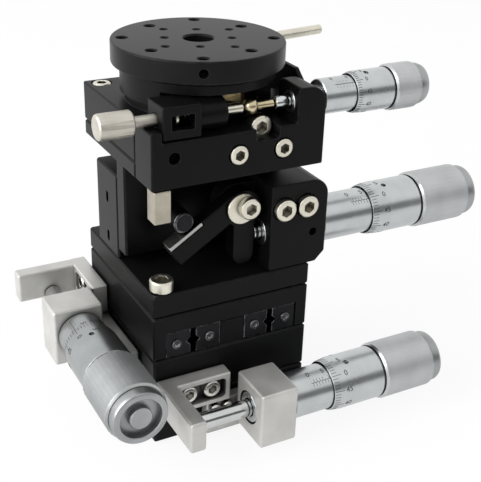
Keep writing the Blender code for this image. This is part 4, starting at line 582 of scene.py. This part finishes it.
def from_curve(curve):
    """A curve or a line of figures as a shape."""
    holder = as_object("curve", curve)
    solid = holder.evaluated_get(bpy.context.evaluated_depsgraph_get())
    mesh = bpy.data.meshes.new_from_object(solid)
    shape = bmesh.new()
    shape.from_mesh(mesh)
    bpy.data.objects.remove(holder)
    bpy.data.curves.remove(curve)
    bpy.data.meshes.remove(mesh)
    return shape


def wrap(shape, radius, angle, along):
    """Bends a flat shape round a barrel: X along it, Y round it and Z out of it."""
    for vert in shape.verts:
        turn = angle - vert.co.y / radius
        out = radius + vert.co.z
        vert.co = (out * math.cos(turn), out * math.sin(turn), along + vert.co.x)
    return shape


def engraved_text(words, height, radius, angle, along):
    """Figures laid round a barrel: they read along it, and stand in its surface."""
    curve = bpy.data.curves.new("figures", "FONT")
    curve.body = words
    curve.size = height * 1.4
    curve.align_x = "CENTER"
    curve.align_y = "CENTER"
    curve.resolution_u = 3
    curve.extrude = MARK_HIGH
    return wrap(from_curve(curve), radius, angle, along)


def line_mark(low, high, angle, inner, outer):
    """One engraved line along a barrel or bevel, from low to high."""
    shape = slab((-MARK_HIGH, -MARK_WIDE / 2, low), (MARK_HIGH, MARK_WIDE / 2, high))
    for vert in shape.verts:
        share = (vert.co.z - low) / (high - low)
        vert.co.x += inner + (outer - inner) * share
    return move(shape, Matrix.Rotation(angle, 4, "Z"))


def thimble_marks(size):
    """Fifty lines on the bevel, each fifth one longer, with a figure behind it."""
    shapes = []
    edge, low = size["edge"], 0.25
    slope = (size["barrel"] - edge) / size["bevel"]
    for index in range(THIMBLE_MARKS):
        angle = -math.tau * index / THIMBLE_MARKS
        high = size["bevel"] * (0.9 if index % 5 == 0 else 0.55)
        shapes.append(line_mark(low, high, angle, edge + slope * low, edge + slope * high))
        if index % 5 == 0:
            along = size["bevel"] + size["digit"] * 0.8
            shapes.append(engraved_text(str(index), size["digit"], size["barrel"], angle, along))
    return merge(shapes)


def sleeve_marks(size, shoulder):
    """The datum line with a line every half millimetre, whole ones above it, and figures."""
    radius = size["sleeve"]
    start = max(SLEEVE_FROM, shoulder + 1.2)
    shapes = [line_mark(start, size["inside"] - 3, 0, radius, radius)]
    for index in range(SLEEVE_MARKS + 1):
        along = SLEEVE_FROM + index / 2
        if along < start:
            continue
        tall = 1.7 if index % 10 == 0 else 1.1
        way = -1 if index % 2 == 0 else 1
        half = MARK_WIDE / 2
        mark = slab((-MARK_HIGH, 0, along - half), (MARK_HIGH, tall, along + half))
        for vert in mark.verts:
            turn = way * vert.co.y / radius
            out = radius + vert.co.x
            vert.co = (out * math.cos(turn), out * math.sin(turn), vert.co.z)
        bmesh.ops.recalc_face_normals(mark, faces=mark.faces)
        shapes.append(mark)
        if index % 10 == 0:
            angle = -(tall + size["digit"] * 0.75) / radius
            shapes.append(engraved_text(str(index // 2), size["digit"], radius, angle, along))
    return merge(shapes)


def ink_look():
    """Engraver's black: dull and a little uneven in the cut lines."""
    look, tree, shader, where = new_look("engraving_ink", Roughness=0.7, IOR=1.5)
    tone = blend(tree, noise(tree, where, 0.6, 2.0), "#3c3c3e", "#1d1d1f")
    tree.links.new(tone, shader.inputs["Base Color"])
    return look


def facing(spot, out, toward):
    """The place of a micrometer: its own Z points out, its own X to its datum line's side."""
    along = Vector(out).normalized()
    side = Vector(toward)
    side = (side - side.dot(along) * along).normalized()
    turn = Matrix((side, along.cross(side), along)).transposed().to_4x4()
    return Matrix.Translation(Vector(spot)) @ turn


ink = ink_look()
# Tool marks that run round a barrel: one that lies along X, and one along Y
ALONG_X = (1, 0.04, 0.04)
ALONG_Y = (0.04, 1, 0.04)
SOFT = {"grain": 0.3, "mark": 0.03}
SLEEK = {"grain": 0.22, "mark": 0.02}
chrome_x = bright_metal("satin_chrome_x", "#c9cdcd", "#bcc0c0", 0.28, ALONG_X, **SLEEK)
# The Y head's chrome and grip are darker copies of the X ones, set against the left lamp's light on
# that head: painted shade
shaded_chrome_y = bright_metal("satin_chrome_y_shaded", "#aeb1b1", "#a0a3a3", 0.32, ALONG_Y, **SLEEK)
grip_x = bright_metal("knurled_chrome_x", "#c6c8c9", "#babcbd", 0.52, **SOFT)
shaded_grip_y = bright_metal("knurled_chrome_y_shaded", "#a4a6a7", "#989a9b", 0.6, **SOFT)
# Its shade reach paints the end cap's recess ring dark: painted shade
cap_chrome = bright_metal("end_cap_chrome", "#abadae", "#97999a", 0.36, shade_reach=2.6, **SOFT)
ground_x = bright_metal("ground_spindle_x", "#d4d6d6", "#c6c8c8", 0.13, ALONG_X, grain=0.2)
ground_y = bright_metal("ground_spindle_y", "#d4d6d6", "#c6c8c8", 0.13, ALONG_Y, grain=0.2)
# Prefix, sizes, place, ends of stem, shoulder and spindle, body that holds it, and drive
HEADS = (
    ("x", LARGE, (23.8, -38, 14), -24.85, -12.9, -43.1, "base", "x"),
    ("y", LARGE, (-38, -8, 28), -18.85, -6.9, -33.9, "x_carriage", "y"),
    ("z", LARGE, (47.1, -17.2, 59), -35.65, -16.9, -37.95, "y_carriage", "z"),
    ("r", SMALL, (37.5, -19.5, 98), -19.35, -10.2, -24.0, "z_carriage", "fine"),
)
for prefix, size, joint, stem, shoulder, tip, fixed, drive in HEADS:
    screw, dial = drive + "_screw", drive + "_dial"
    if prefix == "y":
        place = facing(joint, FRONT, (-0.55, 0, 0.83))
    else:
        place = facing(joint, RIGHT, (0, -0.62, 0.78))
    # The Y head takes the darker chrome copies: painted shade
    chrome, ground = (shaded_chrome_y, ground_y) if prefix == "y" else (chrome_x, ground_x)
    for name, shape, body, look, slot, node in (
        ("sleeve_plated", sleeve_shape(size, stem, shoulder), fixed, chrome, "chrome", "sleeve"),
        ("spindle_ground", spindle_shape(size, tip), screw, ground, "chrome", "spindle"),
        ("thimble_plated", thimble_shape(size), dial, chrome, "chrome", "thimble"),
        ("sleeve_scale", sleeve_marks(size, shoulder), fixed, ink, "black", ""),
        ("thimble_scale", thimble_marks(size), dial, ink, "black", ""),
        ("thimble_grub_screw", grub_screw(size), dial, rail_steel, "steel", ""),
    ):
        nodes = (prefix + "_" + node,) if node else ()
        piece = settle(prefix + "_" + name, move(shape, place), body, look, slot, *nodes)
        if node == "thimble":
            piece.data.materials.append(shaded_grip_y if prefix == "y" else grip_x)
            piece.data.materials.append(cap_chrome)

# ---------------------------------------------------------------------------------------
# Z drive: the block that clamps the upright axis's micrometer, and the bell crank beside it
# that turns the spindle's push upwards. Both milled aluminium, black anodised; the crank
# swings on a shoulder screw, and a hardened strip on it lifts a blackened steel pin.
MIC_BLOCK = {"left": 11.3, "right": 29.9, "low": 49.3, "high": 75.5, "front": -25.0, "back": -9.0}
PIVOT = (5.3, -17.2, 67.9)
EAR = {"high": 73.7, "low": 62.1, "front": -14.4, "back": -9.5, "radius": 5.8, "right": 21.3}
Z_AXIS = 59
STEM_BORE = 5.05
M4_CAP = (3.3, 4.2, 1.5)
BLOCK_SCREWS = (15.2, 22.5)
BLOCK_SCREW_UP = 68.3
BLOCK_SCREW_SEAT = -22.7
LOCK_HOLE = (25.4, 59.3)
# The bell crank, lying along X from its pivot before it is turned down to the left
CRANK_TURN = Matrix.Translation(PIVOT) @ Matrix.Rotation(math.radians(-212.8), 4, "Y")
CRANK_HALF = 2.5
CRANK_BORE = 2.6
ARM_LOW = -5.84
WASHER_AT = (4.3, 68.6)
HEAD_AT = (5.7, 69.2)
WASHER_TOP = 6.5
LIFT_PIN = (-13.0, 66.98)
STOP_POST = ((-24.2, -24.7, 70.6), (-19.3, -19.8, 80))
CORNER_CAP = (3.4, 3.3, 1.5)
CORNER_SCREW = (-20.9, -21.5, 49.3)
PLANES = {"XZ": (0, 2, 1), "YZ": (1, 2, 0), "XY": (0, 1, 2)}


def arc(middle, radius, start, end, steps=10):
    """Points round a middle, from one angle to another in degrees."""
    across, up = middle
    turns = [math.radians(start + (end - start) * index / steps) for index in range(steps + 1)]
    return [(across + radius * math.cos(turn), up + radius * math.sin(turn)) for turn in turns]


def milled(outline, low, high, plane="XZ", edge=0.5):
    """A plate cut to an outline and given its thickness, with its edges broken."""
    first, second, deep = PLANES[plane]
    shape = bmesh.new()
    corners = []
    for along, up in outline:
        spot = [low, low, low]
        spot[first] = along
        spot[second] = up
        corners.append(shape.verts.new(spot))
    face = shape.faces.new(corners)
    grown = bmesh.ops.extrude_face_region(shape, geom=[face])["geom"]
    push = [0, 0, 0]
    push[deep] = high - low
    top = [part for part in grown if isinstance(part, bmesh.types.BMVert)]
    bmesh.ops.translate(shape, vec=push, verts=top)
    bmesh.ops.recalc_face_normals(shape, faces=shape.faces)
    if edge:
        ease(shape, [side for side in shape.edges if side.calc_face_angle() > 0.6], edge)
    return shape


def z_block():
    """The clamp block: chamfered foot, rounded shoulder, and the ear for the crank's pivot."""
    box = MIC_BLOCK
    outline = [(box["left"], box["low"]), (box["right"] - 3, box["low"])]
    outline += [(box["right"], box["low"] + 3)]
    outline += arc((box["right"] - 5, box["high"] - 5), 5, 0, 90)
    outline += [(box["left"], box["high"])]
    ear = [(EAR["right"], EAR["low"]), (EAR["right"], EAR["high"])]
    ear += arc((PIVOT[0], PIVOT[2]), EAR["radius"], 90, 270, 20)
    body = milled(outline, box["front"], box["back"])
    body = carve(body, [milled(ear, EAR["front"], EAR["back"], edge=0.3)], "UNION")
    cuts = [pin(STEM_BORE, -2, 22, (box["left"], PIVOT[1], Z_AXIS), RIGHT, 64)]
    for across in BLOCK_SCREWS:
        cuts.append(pin(3.6, -2.6, 2, (across, box["front"], BLOCK_SCREW_UP), FRONT))
    cuts.append(pin(1.3, -3, 2, (LOCK_HOLE[0], box["front"], LOCK_HOLE[1]), FRONT, 32))
    cuts.append(pin(CRANK_BORE, -8, 8, (PIVOT[0], EAR["front"], PIVOT[2]), FRONT))
    return carve(body, cuts)


def crank():
    """The bell crank: its hub, the long arm under the lift pin and the short arm down."""
    hub = pin(5.5, -CRANK_HALF, CRANK_HALF, PIVOT, FRONT, 64)
    arm = move(slab((0, -CRANK_HALF, ARM_LOW), (24, CRANK_HALF, 1.16), 0.6), CRANK_TURN)
    seat = move(slab((11.7, -4, -8), (26, 4, -4.54)), CRANK_TURN)
    down = slab((2.3, -19.7, 53.8), (8.7, -14.7, PIVOT[2]))
    foot = pin(3.2, -CRANK_HALF, CRANK_HALF, (5.5, PIVOT[1], 53.8), FRONT, 48)
    bore = pin(CRANK_BORE, -4, 4, PIVOT, FRONT)
    return carve(carve(hub, [arm, down, foot], "UNION"), [seat, bore])


def pivot_screw():
    """The shoulder screw of the crank: shank, washer and head, a little off each other."""
    low, high = WASHER_TOP - 0.9, WASHER_TOP
    profile = [(0, high), (4.4, high), (4.6, high - 0.2), (4.6, low + 0.2), (4.4, low), (0, low)]
    front = EAR["front"]
    washer = aim(turned(profile, 64), (WASHER_AT[0], front, WASHER_AT[1]), FRONT)
    profile = [(0, 6.4), (2.3, 6.4), (2.3, -3.3), (2.0, -3.6), (0, -3.6)]
    shank = aim(turned(profile, 48), (PIVOT[0], front, PIVOT[2]), FRONT)
    spot = (HEAD_AT[0], front - WASHER_TOP, HEAD_AT[1])
    return merge([washer, shank, cap_screw(3.2, 2.6, 2.0, 0.4, spot, FRONT)])


block_black = black_anodised("block_black", "#0e0e0f", "#3a3a3c", rough=0.34)
# Its shade reach paints the sockets and a ring round the screw heads dark: painted shade
ivory_nickel = bright_metal(
    "ivory_nickel", "#e3dfd1", "#d2cdbe", 0.28, grain=0.18, rub="#f6f3e9", shade_reach=2.4
)
# A darker copy of the nickel for the stop post, standing in for the shade on its side: painted
# shade
shaded_post_nickel = bright_metal(
    "shaded_post_nickel", "#bab4a5", "#958e7f", 0.34, (1, 1, 0.2), grain=0.3, rub="#efeadd"
)
ground_steel = bright_metal("ground_steel", "#b4b4b2", "#a09f9d", 0.22, (0.2, 1, 0.2), grain=0.2)
settle("z_mic_block_milled", z_block(), "y_carriage", block_black, "black", "z_mic_block")
# The crank takes the darker copy of the black: painted shade
settle("z_lever_milled", crank(), "bell_crank", shaded_black, "black", "z_lever")
strip = slab((12, -CRANK_HALF, ARM_LOW), (23.6, CRANK_HALF, ARM_LOW + 1), 0.15, 2)
strip = move(strip, CRANK_TURN)
settle("lever_wear_strip_ground", strip, "bell_crank", ground_steel, "steel", "lever_wear_strip")
settle("lever_pivot_screw", pivot_screw(), "y_carriage", ivory_nickel, "nickel", "lever_pivot")
rod = turned([(0, 19.4), (2.6, 19.4), (3.0, 19.0), (3.0, 3.3), (2.7, 3.0), (0, 3.0)], 64)
rod = aim(rod, (LIFT_PIN[0], 0, LIFT_PIN[1]), FRONT)
settle("lift_pin_blackened", rod, "z_carriage", rail_steel, "steel", "lift_pin")
# The stop post takes the darker nickel copy: painted shade
settle("stop_post_plated", slab(*STOP_POST, 0.4), "z_carriage", shaded_post_nickel, "nickel", "stop_post")
for label, across in zip(("left", "right"), BLOCK_SCREWS):
    shape = cap_screw(*M4_CAP, 4.0, (across, BLOCK_SCREW_SEAT, BLOCK_SCREW_UP), FRONT)
    settle("z_mic_block_screw_" + label, shape, "y_carriage", ivory_nickel, "nickel")
shape = cap_screw(*CORNER_CAP, 4.0, CORNER_SCREW, UP)
settle("z_corner_screw_front", shape, "y_carriage", ivory_nickel, "nickel", "z_corner_screw")

# ---------------------------------------------------------------------------------------
# Rotary head: a base block with a turned collar that carries the bearing, and the bracket
# screwed before it that holds the fine micrometer. Aluminium, black anodised like the
# plates; the bracket is milled with a notch and stiffened with a rib on its right.
COLLAR = [(21.3, 105.8), (21.8, 105.3), (21.8, 98.7), (20.6, 98.7), (20.6, 95.2)]
COLLAR += [(14, 95.2), (14, 105.8)]
BASE_TOP = 96.2
COLLAR_OPEN = (94.5, 102.9)
ARM_BORE = 10.3
CAP_SINK = 3.05
BASE_SCREW = (20.7, 21.2)
BRACKET_FRONT = -25
BRACKET_SCREWS = (0.3, 14.0)
BRACKET_SCREW_UP = 86.9
NOTCH = ((5.4, -28, 89.9), (12.6, -17.2, 96))
NOTCH_CAP = (3.3, 4.0, 1.5)
NOTCH_SCREW = (9.0, -17.5, 92.2)
HEAD_FRONT = -13.7
FINE_AXIS = (0, -19.5, 98)


def head_base():
    """The block and its collar, open at the front under the rim for the arm."""
    low, high = COLLAR_OPEN
    block = slab((-25, HEAD_FRONT, 84.9), (25, 25, BASE_TOP), 0.5)
    wedge = [(0, 0)] + arc((0, 0), 50, -80, -28, 5)
    opening = slab((-50, -50, low), (50, HEAD_FRONT + 0.5, high))
    collar = carve(turned(COLLAR, 160), [opening, milled(wedge, low, high, "XY", 0)])
    cuts = [pin(ARM_BORE, 80, 99, (0, 0, 0), UP, 96)]
    for side in (-1, 1):
        spot = (side * BASE_SCREW[0], BASE_SCREW[1], BASE_TOP)
        cuts.append(pin(CAP_SINK, -2.8, 3, spot, UP))
    return carve(carve(block, [collar], "UNION"), cuts)


def fine_bracket():
    """The bracket before the head: holder of the fine micrometer, notch and rib."""
    outline = [(-25, 80.3), (27, 80.3), *arc((22, 98), 5, 0, 90)]
    outline += [*arc((19.5, 101.5), 1.5, 90, 180, 5), (18, 93.2), (-21.8, 93.2)]
    outline += [(-21.8, BASE_TOP), (-25, BASE_TOP)]
    rib = [(-15, 81.3), (-7, 81.3), (2, 93.2), (2, 104), (-10, 104), (-15, 100)]
    body = milled(outline, BRACKET_FRONT, -14)
    body = carve(body, [milled(rib, 25.3, 26.7, "YZ", 0.2)], "UNION")
    notch = ease_corners(slab(*NOTCH), 0.6)
    cuts = [notch, pin(3.7, -3, 12, (18, FINE_AXIS[1], FINE_AXIS[2]), RIGHT, 64)]
    for across in BRACKET_SCREWS:
        spot = (across, BRACKET_FRONT, BRACKET_SCREW_UP)
        cuts.append(pin(CAP_SINK, -2.4, 2, spot, FRONT))
    cuts.append(pin(1.7, -3, 2, (-18.5, BRACKET_FRONT, 88.8), FRONT, 32))
    return carve(body, cuts)


settle("rotary_base_milled", head_base(), "z_carriage", plate_black, "black", "rotary_base")
settle("front_bracket_milled", fine_bracket(), "z_carriage", block_black, "black", "front_bracket")
for label, across in zip(("left", "right"), BRACKET_SCREWS):
    name = "bracket_screw_" + label
    shape = cap_screw(*M3_CAP, 4.0, (across, -22.9, BRACKET_SCREW_UP), FRONT)
    settle("bracket_screw_head_" + label, shape, "z_carriage", ivory_nickel, "nickel", name)
shape = cap_screw(*NOTCH_CAP, 4.0, NOTCH_SCREW, FRONT)
name = "bracket_screw_notch"
settle("bracket_screw_head_notch", shape, "z_carriage", ivory_nickel, "nickel", name)
for side, label in ((-1, "left"), (1, "right")):
    shape = cap_screw(*M3_CAP, 4.0, (side * BASE_SCREW[0], BASE_SCREW[1], 93.4), UP)
    settle("rotary_base_screw_" + label, shape, "z_carriage", ivory_nickel, "nickel")

# ---------------------------------------------------------------------------------------
# Fine drive: the return plunger's windowed housing, its rod, spring and seat, and the
# knurled thumb screw behind, against the ball on the golden arm that clamps the platform's
# spigot. Housing black anodised, rod and screw nickel plated, spring wire of steel.
COIL_TURNS = 4
COIL_STEPS = 28
COIL_START = -12.5
COIL_LENGTH = 4.2
COIL_RADIUS = 2.15
COIL_WIRE = 0.25
KNOB = 3.5
KNOB_LOW = 28.0
KNOB_HIGH = 37.6
KNOB_PITCH = 0.5
SCREW_ROD = 1.6
BALL = 2.2
BALL_ALONG = 6.2
TONGUE = [(-0.5, -13.4), (4.5, -17.6), (4.5, -19.8), (7.9, -19.8)]
TONGUE += [(12.4, -12.6), (10.16, -7.11), (2.58, -12.13)]


def housing():
    """The windowed box with its round barrel, bored through."""
    box = slab((-21.5, -24.5, 93.5), (-10.5, -14.5, 102.5), 0.5)
    barrel = turned([(0, 0), (3.8, 0), (4.2, -0.4), (4.2, -10), (0, -10)], 64)
    barrel = aim(barrel, (-2.2, *FINE_AXIS[1:]), RIGHT)
    bores = ((3.0, -20, -3.7, 48), (1.8, -5, 0, 32), (1.9, -24, -19, 32))
    cuts = [pin(*sizes, FINE_AXIS, RIGHT, steps) for *sizes, steps in bores]
    cuts.append(slab((-19, -28, 96), (COIL_START, FINE_AXIS[1], 100)))
    return carve(carve(box, [barrel], "UNION"), cuts)


def coil():
    """The return spring, as a wire swept round a helix."""
    curve = bpy.data.curves.new("coil", "CURVE")
    curve.dimensions = "3D"
    curve.bevel_depth = COIL_WIRE
    curve.bevel_resolution = 2
    curve.use_fill_caps = True
    wire = curve.splines.new("POLY")
    total = COIL_TURNS * COIL_STEPS
    wire.points.add(total)
    for index, point in enumerate(wire.points):
        angle = math.tau * index / COIL_STEPS
        across = FINE_AXIS[1] + COIL_RADIUS * math.sin(angle)
        up = FINE_AXIS[2] + COIL_RADIUS * math.cos(angle)
        point.co = (COIL_START + COIL_LENGTH * index / total, across, up, 1)
    shape = from_curve(curve)
    bmesh.ops.recalc_face_normals(shape, faces=shape.faces)
    return shape


def thumb():
    """The thumb screw with its knurled knob."""
    steps = 2 * round(math.pi * KNOB / KNOB_PITCH)
    profile = [(0, 17.1), (1.2, 17.1), (SCREW_ROD, 17.5), (SCREW_ROD, KNOB_LOW - 0.1)]
    profile += [(2.6, KNOB_LOW), (3.1, KNOB_LOW), (KNOB, KNOB_LOW + 0.4), (KNOB, KNOB_HIGH - 0.9)]
    profile += [(3.35, KNOB_HIGH - 0.4), (3.0, KNOB_HIGH - 0.1), (2.5, KNOB_HIGH), (0, KNOB_HIGH)]
    shape = turned(profile, steps)
    flute(shape, KNOB - 0.05, steps, 0.965)
    return aim(shape, FINE_AXIS, (-1, 0, 0))


def arm():
    """The clamp ring on the spigot, with its tongue, the ball and the pin to the spindle."""
    profile = [(ARM_BORE, 105.3), (10.6, 105.3), (13.3, 105.3), (13.7, 104.9), (13.7, 96.5)]
    ring = turned(profile + [(ARM_BORE, 96.5)])
    plate = milled(TONGUE, 96.5, 98.9, "XY", 0.25)
    ball = bmesh.new()
    bmesh.ops.create_uvsphere(ball, u_segments=48, v_segments=24, radius=BALL)
    bmesh.ops.translate(ball, vec=(BALL_ALONG, *FINE_AXIS[1:]), verts=ball.verts)
    profile = [(0, 13.2), (0.9, 13.2), (1.2, 12.9), (1.2, 7.4), (0, 7.4)]
    return carve(ring, [plate, ball, aim(turned(profile, 40), FINE_AXIS, RIGHT)], "UNION")


golden = bright_metal(
    "golden_steel", "#d8ccac", "#b4a684", 0.24, (1, 1, 0.2), grain=0.3, rub="#f4ecd4", shade_reach=0.4
)
knob_nickel = bright_metal("knob_nickel", "#d4d0c6", "#c0bcb2", 0.5, grain=0.18, rub="#efece2")
spring_wire = bright_metal("spring_wire", "#a2a2a4", "#7f7f83", 0.25, grain=0.3)
name = "plunger_housing"
settle(name + "_milled", housing(), "z_carriage", block_black, "black", name)
profile = [(0, 3.7), (1.1, 3.7), (1.5, 3.3), (1.5, -7.0), (2.4, -7.0), (2.6, -7.2), (2.6, -7.8)]
profile += [(2.4, -8.0), (1.5, -8.0), (1.5, -10.0), (0, -10.0)]
shape = aim(turned(profile, 48), FINE_AXIS, RIGHT)
settle("plunger_rod_plated", shape, "plunger", ivory_nickel, "nickel", "plunger_rod")
settle("plunger_spring_wire", coil(), "plunger", spring_wire, "steel", "plunger_spring")
profile = [(0, -15.8), (2.5, -15.8), (2.7, -16.0), (2.7, -16.6), (2.5, -16.8), (0, -16.8)]
shape = aim(turned(profile, 48), FINE_AXIS, RIGHT)
settle("spring_seat_plated", shape, "seat", ivory_nickel, "nickel", "spring_seat")
settle("thumbscrew_knurled", thumb(), "thumb", knob_nickel, "nickel", "thumbscrew")
settle("tangent_arm_golden", arm(), "fine_arm", golden, "golden", "tangent_arm")

# ---------------------------------------------------------------------------------------
# Round platform and its handle rod. A turned aluminium disc, faced in one pass so that fine
# rings show, black anodised, with tapped holes for the specimen plate; the rod is plated
# steel, screwed into the rim, and turns the platform by hand.
PLATFORM_TOP = 112.5
PLATFORM_LOW = 106.2
RIM = 24.2
SPIGOT = 10
SPIGOT_LOW = 86.2
PLATFORM_BORE = 4.2
HANDLE_TURN = 9.0
HANDLE = 1.4
HANDLE_END = 44.5
FIRST_TURN = -22.2
# Radius, ring and turn of the platform's holes, four of each
HOLES = ((1.6, 20.9, 0), (1.6, 18.6, 45), (1.1, 9.3, 0), (1.1, 13.15, 45))
FEED = 0.35


def faced_black(name, colour, rubbed):
    """Black anodised aluminium that was turned: rings of the tool's feed under the dye. The
    real feed is near 0.1 mm and is drawn at 0.35 mm."""
    look, tree, shader, where = new_look(name, IOR=1.45, Specular_IOR_Level=0.15)
    eased, edge = worn_edges(tree, 0.3, where)
    rings = {"Vector": where, "Scale": 2 / (FEED * MM * math.tau), "Distortion": 0.0}
    feed = add(tree, "ShaderNodeTexWave", rings, wave_type="RINGS", rings_direction="Z").outputs[0]
    tone = dyed(tree, where, 12, 0.75, colour, rubbed, edge)
    gloss = ramp(tree, feed, 0.0, 1.0, 0.3, 0.4)
    bump = {"Strength": 0.15, "Distance": 0.015 * MM, "Height": feed, "Normal": eased}
    link_look(tree, shader, tone, gloss, bump)
    return look


def outward(turn):
    """The level direction at a turn in degrees."""
    return (math.cos(math.radians(turn)), math.sin(math.radians(turn)), 0)


def disc():
    """The platform with its spigot, through bore and tapped holes, each with its countersink."""
    top, low = PLATFORM_TOP, PLATFORM_LOW
    profile = [(RIM - 0.5, top), (RIM - 0.15, top - 0.15), (RIM, top - 0.5), (RIM, low + 0.5)]
    profile += [(RIM - 0.15, low + 0.15), (RIM - 0.5, low), (SPIGOT, low)]
    profile += [(SPIGOT, SPIGOT_LOW + 0.3), (SPIGOT - 0.3, SPIGOT_LOW), (PLATFORM_BORE, SPIGOT_LOW)]
    profile += [(PLATFORM_BORE, top - 0.4), (PLATFORM_BORE + 0.4, top)]
    cuts = []
    for index in range(4):
        for radius, ring, turn in HOLES:
            angle = math.radians(FIRST_TURN + 90 * index + turn)
            spot = (ring * math.cos(angle), ring * math.sin(angle), top)
            hole = [(0, 1), (radius + 1.25, 1), (radius, -0.25), (radius, -4.5)]
            hole = turned(hole + [(0, -4.5 - radius * 0.5)], 32)
            cuts.append(aim(hole, spot, UP))
    for radius, deep, turn in ((1.3, 4.0, -112.2), (1.7, 4.3, HANDLE_TURN)):
        cuts.append(pin(radius, RIM - deep, RIM + 2, (0, 0, (top + low) / 2), outward(turn), 32))
    return carve(turned(profile, 192), cuts)


platform_black = faced_black("platform_black", "#131314", "#454547")
settle("platform_faced", disc(), "turntable", platform_black, "black", "platform")
end = HANDLE_END
profile = [(0, end), (1.0, end), (1.28, end - 0.12), (HANDLE, end - 0.4), (HANDLE, 20.6)]
profile += [(1.0, 20.2), (0, 20.2)]
shape = aim(turned(profile, 48), (0, 0, (PLATFORM_TOP + PLATFORM_LOW) / 2), outward(HANDLE_TURN))
settle("handle_rod_plated", shape, "turntable", ivory_nickel, "nickel", "handle_rod")

# ---------------------------------------------------------------------------------------
# Studio: a pale floor of matt paper, a large soft lamp above on the left and a weak one in
# front. To the camera and to reflections the floor and the room are plain white, and the
# floor still takes the object's shadow. A grey card that only reflections see stands in front.
CAMERA = (-0.1130, -0.2331, 0.1790)
CAMERA_RIGHT = (0.88263, -0.46912, 0.02968)
CAMERA_UP = (0.18522, 0.40513, 0.89530)
CAMERA_BACK = (-0.43203, -0.78473, 0.44447)
LENS = 71.1
SENSOR = 36
AIM_POINT = (0, 0, 0.05)
KEY = {"spot": (-1.0, 0.0, 0.55), "side": 1.1, "power": 16.0}
FILL = {"spot": (0.6, -0.8, 0.6), "side": 0.8, "power": 2.5}
CARD = {"middle": (0.2, -0.75, 0.14), "size": (1.7, 0.6), "normal": (0, 1, 0)}
ROOM_LIGHT = 0.55
FLOOR_GLOW = 1.03
# How much of the floor is its own glow: where anything sees it, and more for the camera
GLOW_SEEN = 0.6
GLOW_CAMERA = 0.26
# Blots of the paper and of the felt, 60 and 80 to the metre
PAPER_BLOT = 1000 / 60
FELT_BLOT = 1000 / 80


def soft_lamp(name, spot, side, power):
    """A square softbox that faces the object."""
    lamp = bpy.data.lights.new(name, "AREA")
    lamp.shape = "RECTANGLE"
    lamp.size = lamp.size_y = side
    lamp.energy = power
    holder = as_object(name, lamp)
    turn = (Vector(AIM_POINT) - Vector(spot)).to_track_quat("-Z", "Y").to_matrix().to_4x4()
    holder.matrix_world = Matrix.Translation(Vector(spot)) @ turn
    return holder


def seen(tree):
    """1 for what the camera, a reflection or a clear material sees, else 0."""
    path = add(tree, "ShaderNodeLightPath").outputs
    first = reckon(tree, "MAXIMUM", path["Is Camera Ray"], path["Is Glossy Ray"])
    return reckon(tree, "MAXIMUM", first, path["Is Transmission Ray"])


def floor_paper():
    """Matt white paper with a faint fibre, lit by its own colour where it is seen."""
    look, tree, shader, where = new_look("floor_paper", Roughness=0.9)
    colour = blend(tree, noise(tree, where, PAPER_BLOT, 4.0), "#e8e8e8", "#efefef")
    tree.links.new(colour, shader.inputs["Base Color"])
    glow = add(tree, "ShaderNodeEmission", {"Color": (1, 1, 1, 1), "Strength": FLOOR_GLOW})
    camera_ray = add(tree, "ShaderNodeLightPath").outputs["Is Camera Ray"]
    direct = reckon(tree, "MULTIPLY", camera_ray, GLOW_CAMERA)
    share = reckon(tree, "MULTIPLY_ADD", seen(tree), GLOW_SEEN, direct)
    mixed = add(tree, "ShaderNodeMixShader", {0: share, 1: shader.outputs[0], 2: glow.outputs[0]})
    tree.links.new(mixed.outputs[0], tree.nodes["Material Output"].inputs["Surface"])
    return look


def grey_card():
    """Felt of an even grey, faintly mottled: its reflection gives the metal its mid tones."""
    look, tree, shader, where = new_look("grey_card", Roughness=0.9)
    colour = blend(tree, noise(tree, where, FELT_BLOT, 2.0), "#6e6e70", "#787878")
    tree.links.new(colour, shader.inputs["Base Color"])
    return look


def stage_sheet(name, middle, size, normal, look):
    """A flat sheet of the studio."""
    shape = bmesh.new()
    bmesh.ops.create_grid(shape, x_segments=1, y_segments=1, size=0.5)
    bmesh.ops.scale(shape, vec=(size[0], size[1], 1), verts=shape.verts)
    aim(shape, middle, normal)
    mesh = as_mesh(name, shape)
    mesh.materials.append(look)
    sheet = as_object(name, mesh)
    return sheet


stage_sheet("floor", (0, 0, -0.0005), (6, 6), UP, floor_paper())
card = stage_sheet("front_card", look=grey_card(), **CARD)
card.visible_camera = False
card.visible_diffuse = False
card.visible_shadow = False
soft_lamp("key", **KEY)
fill = soft_lamp("fill", **FILL)
fill.visible_glossy = False

world = bpy.data.worlds.new("white_room")
bpy.context.scene.world = world
world.use_nodes = True
room = world.node_tree
sky = room.nodes["Background"].inputs
sky["Color"].default_value = (1, 1, 1, 1)
room.links.new(ramp(room, seen(room), 0.0, 1.0, ROOM_LIGHT), sky["Strength"])

view = bpy.data.cameras.new("view")
view.sensor_width = SENSOR
view.lens = LENS
view.clip_end = 20
camera = as_object("view", view)
axes = Matrix((CAMERA_RIGHT, CAMERA_UP, CAMERA_BACK)).transposed().to_4x4()
camera.matrix_world = Matrix.Translation(Vector(CAMERA)) @ axes
bpy.context.scene.camera = camera
bpy.context.scene.view_settings.view_transform = "Standard"
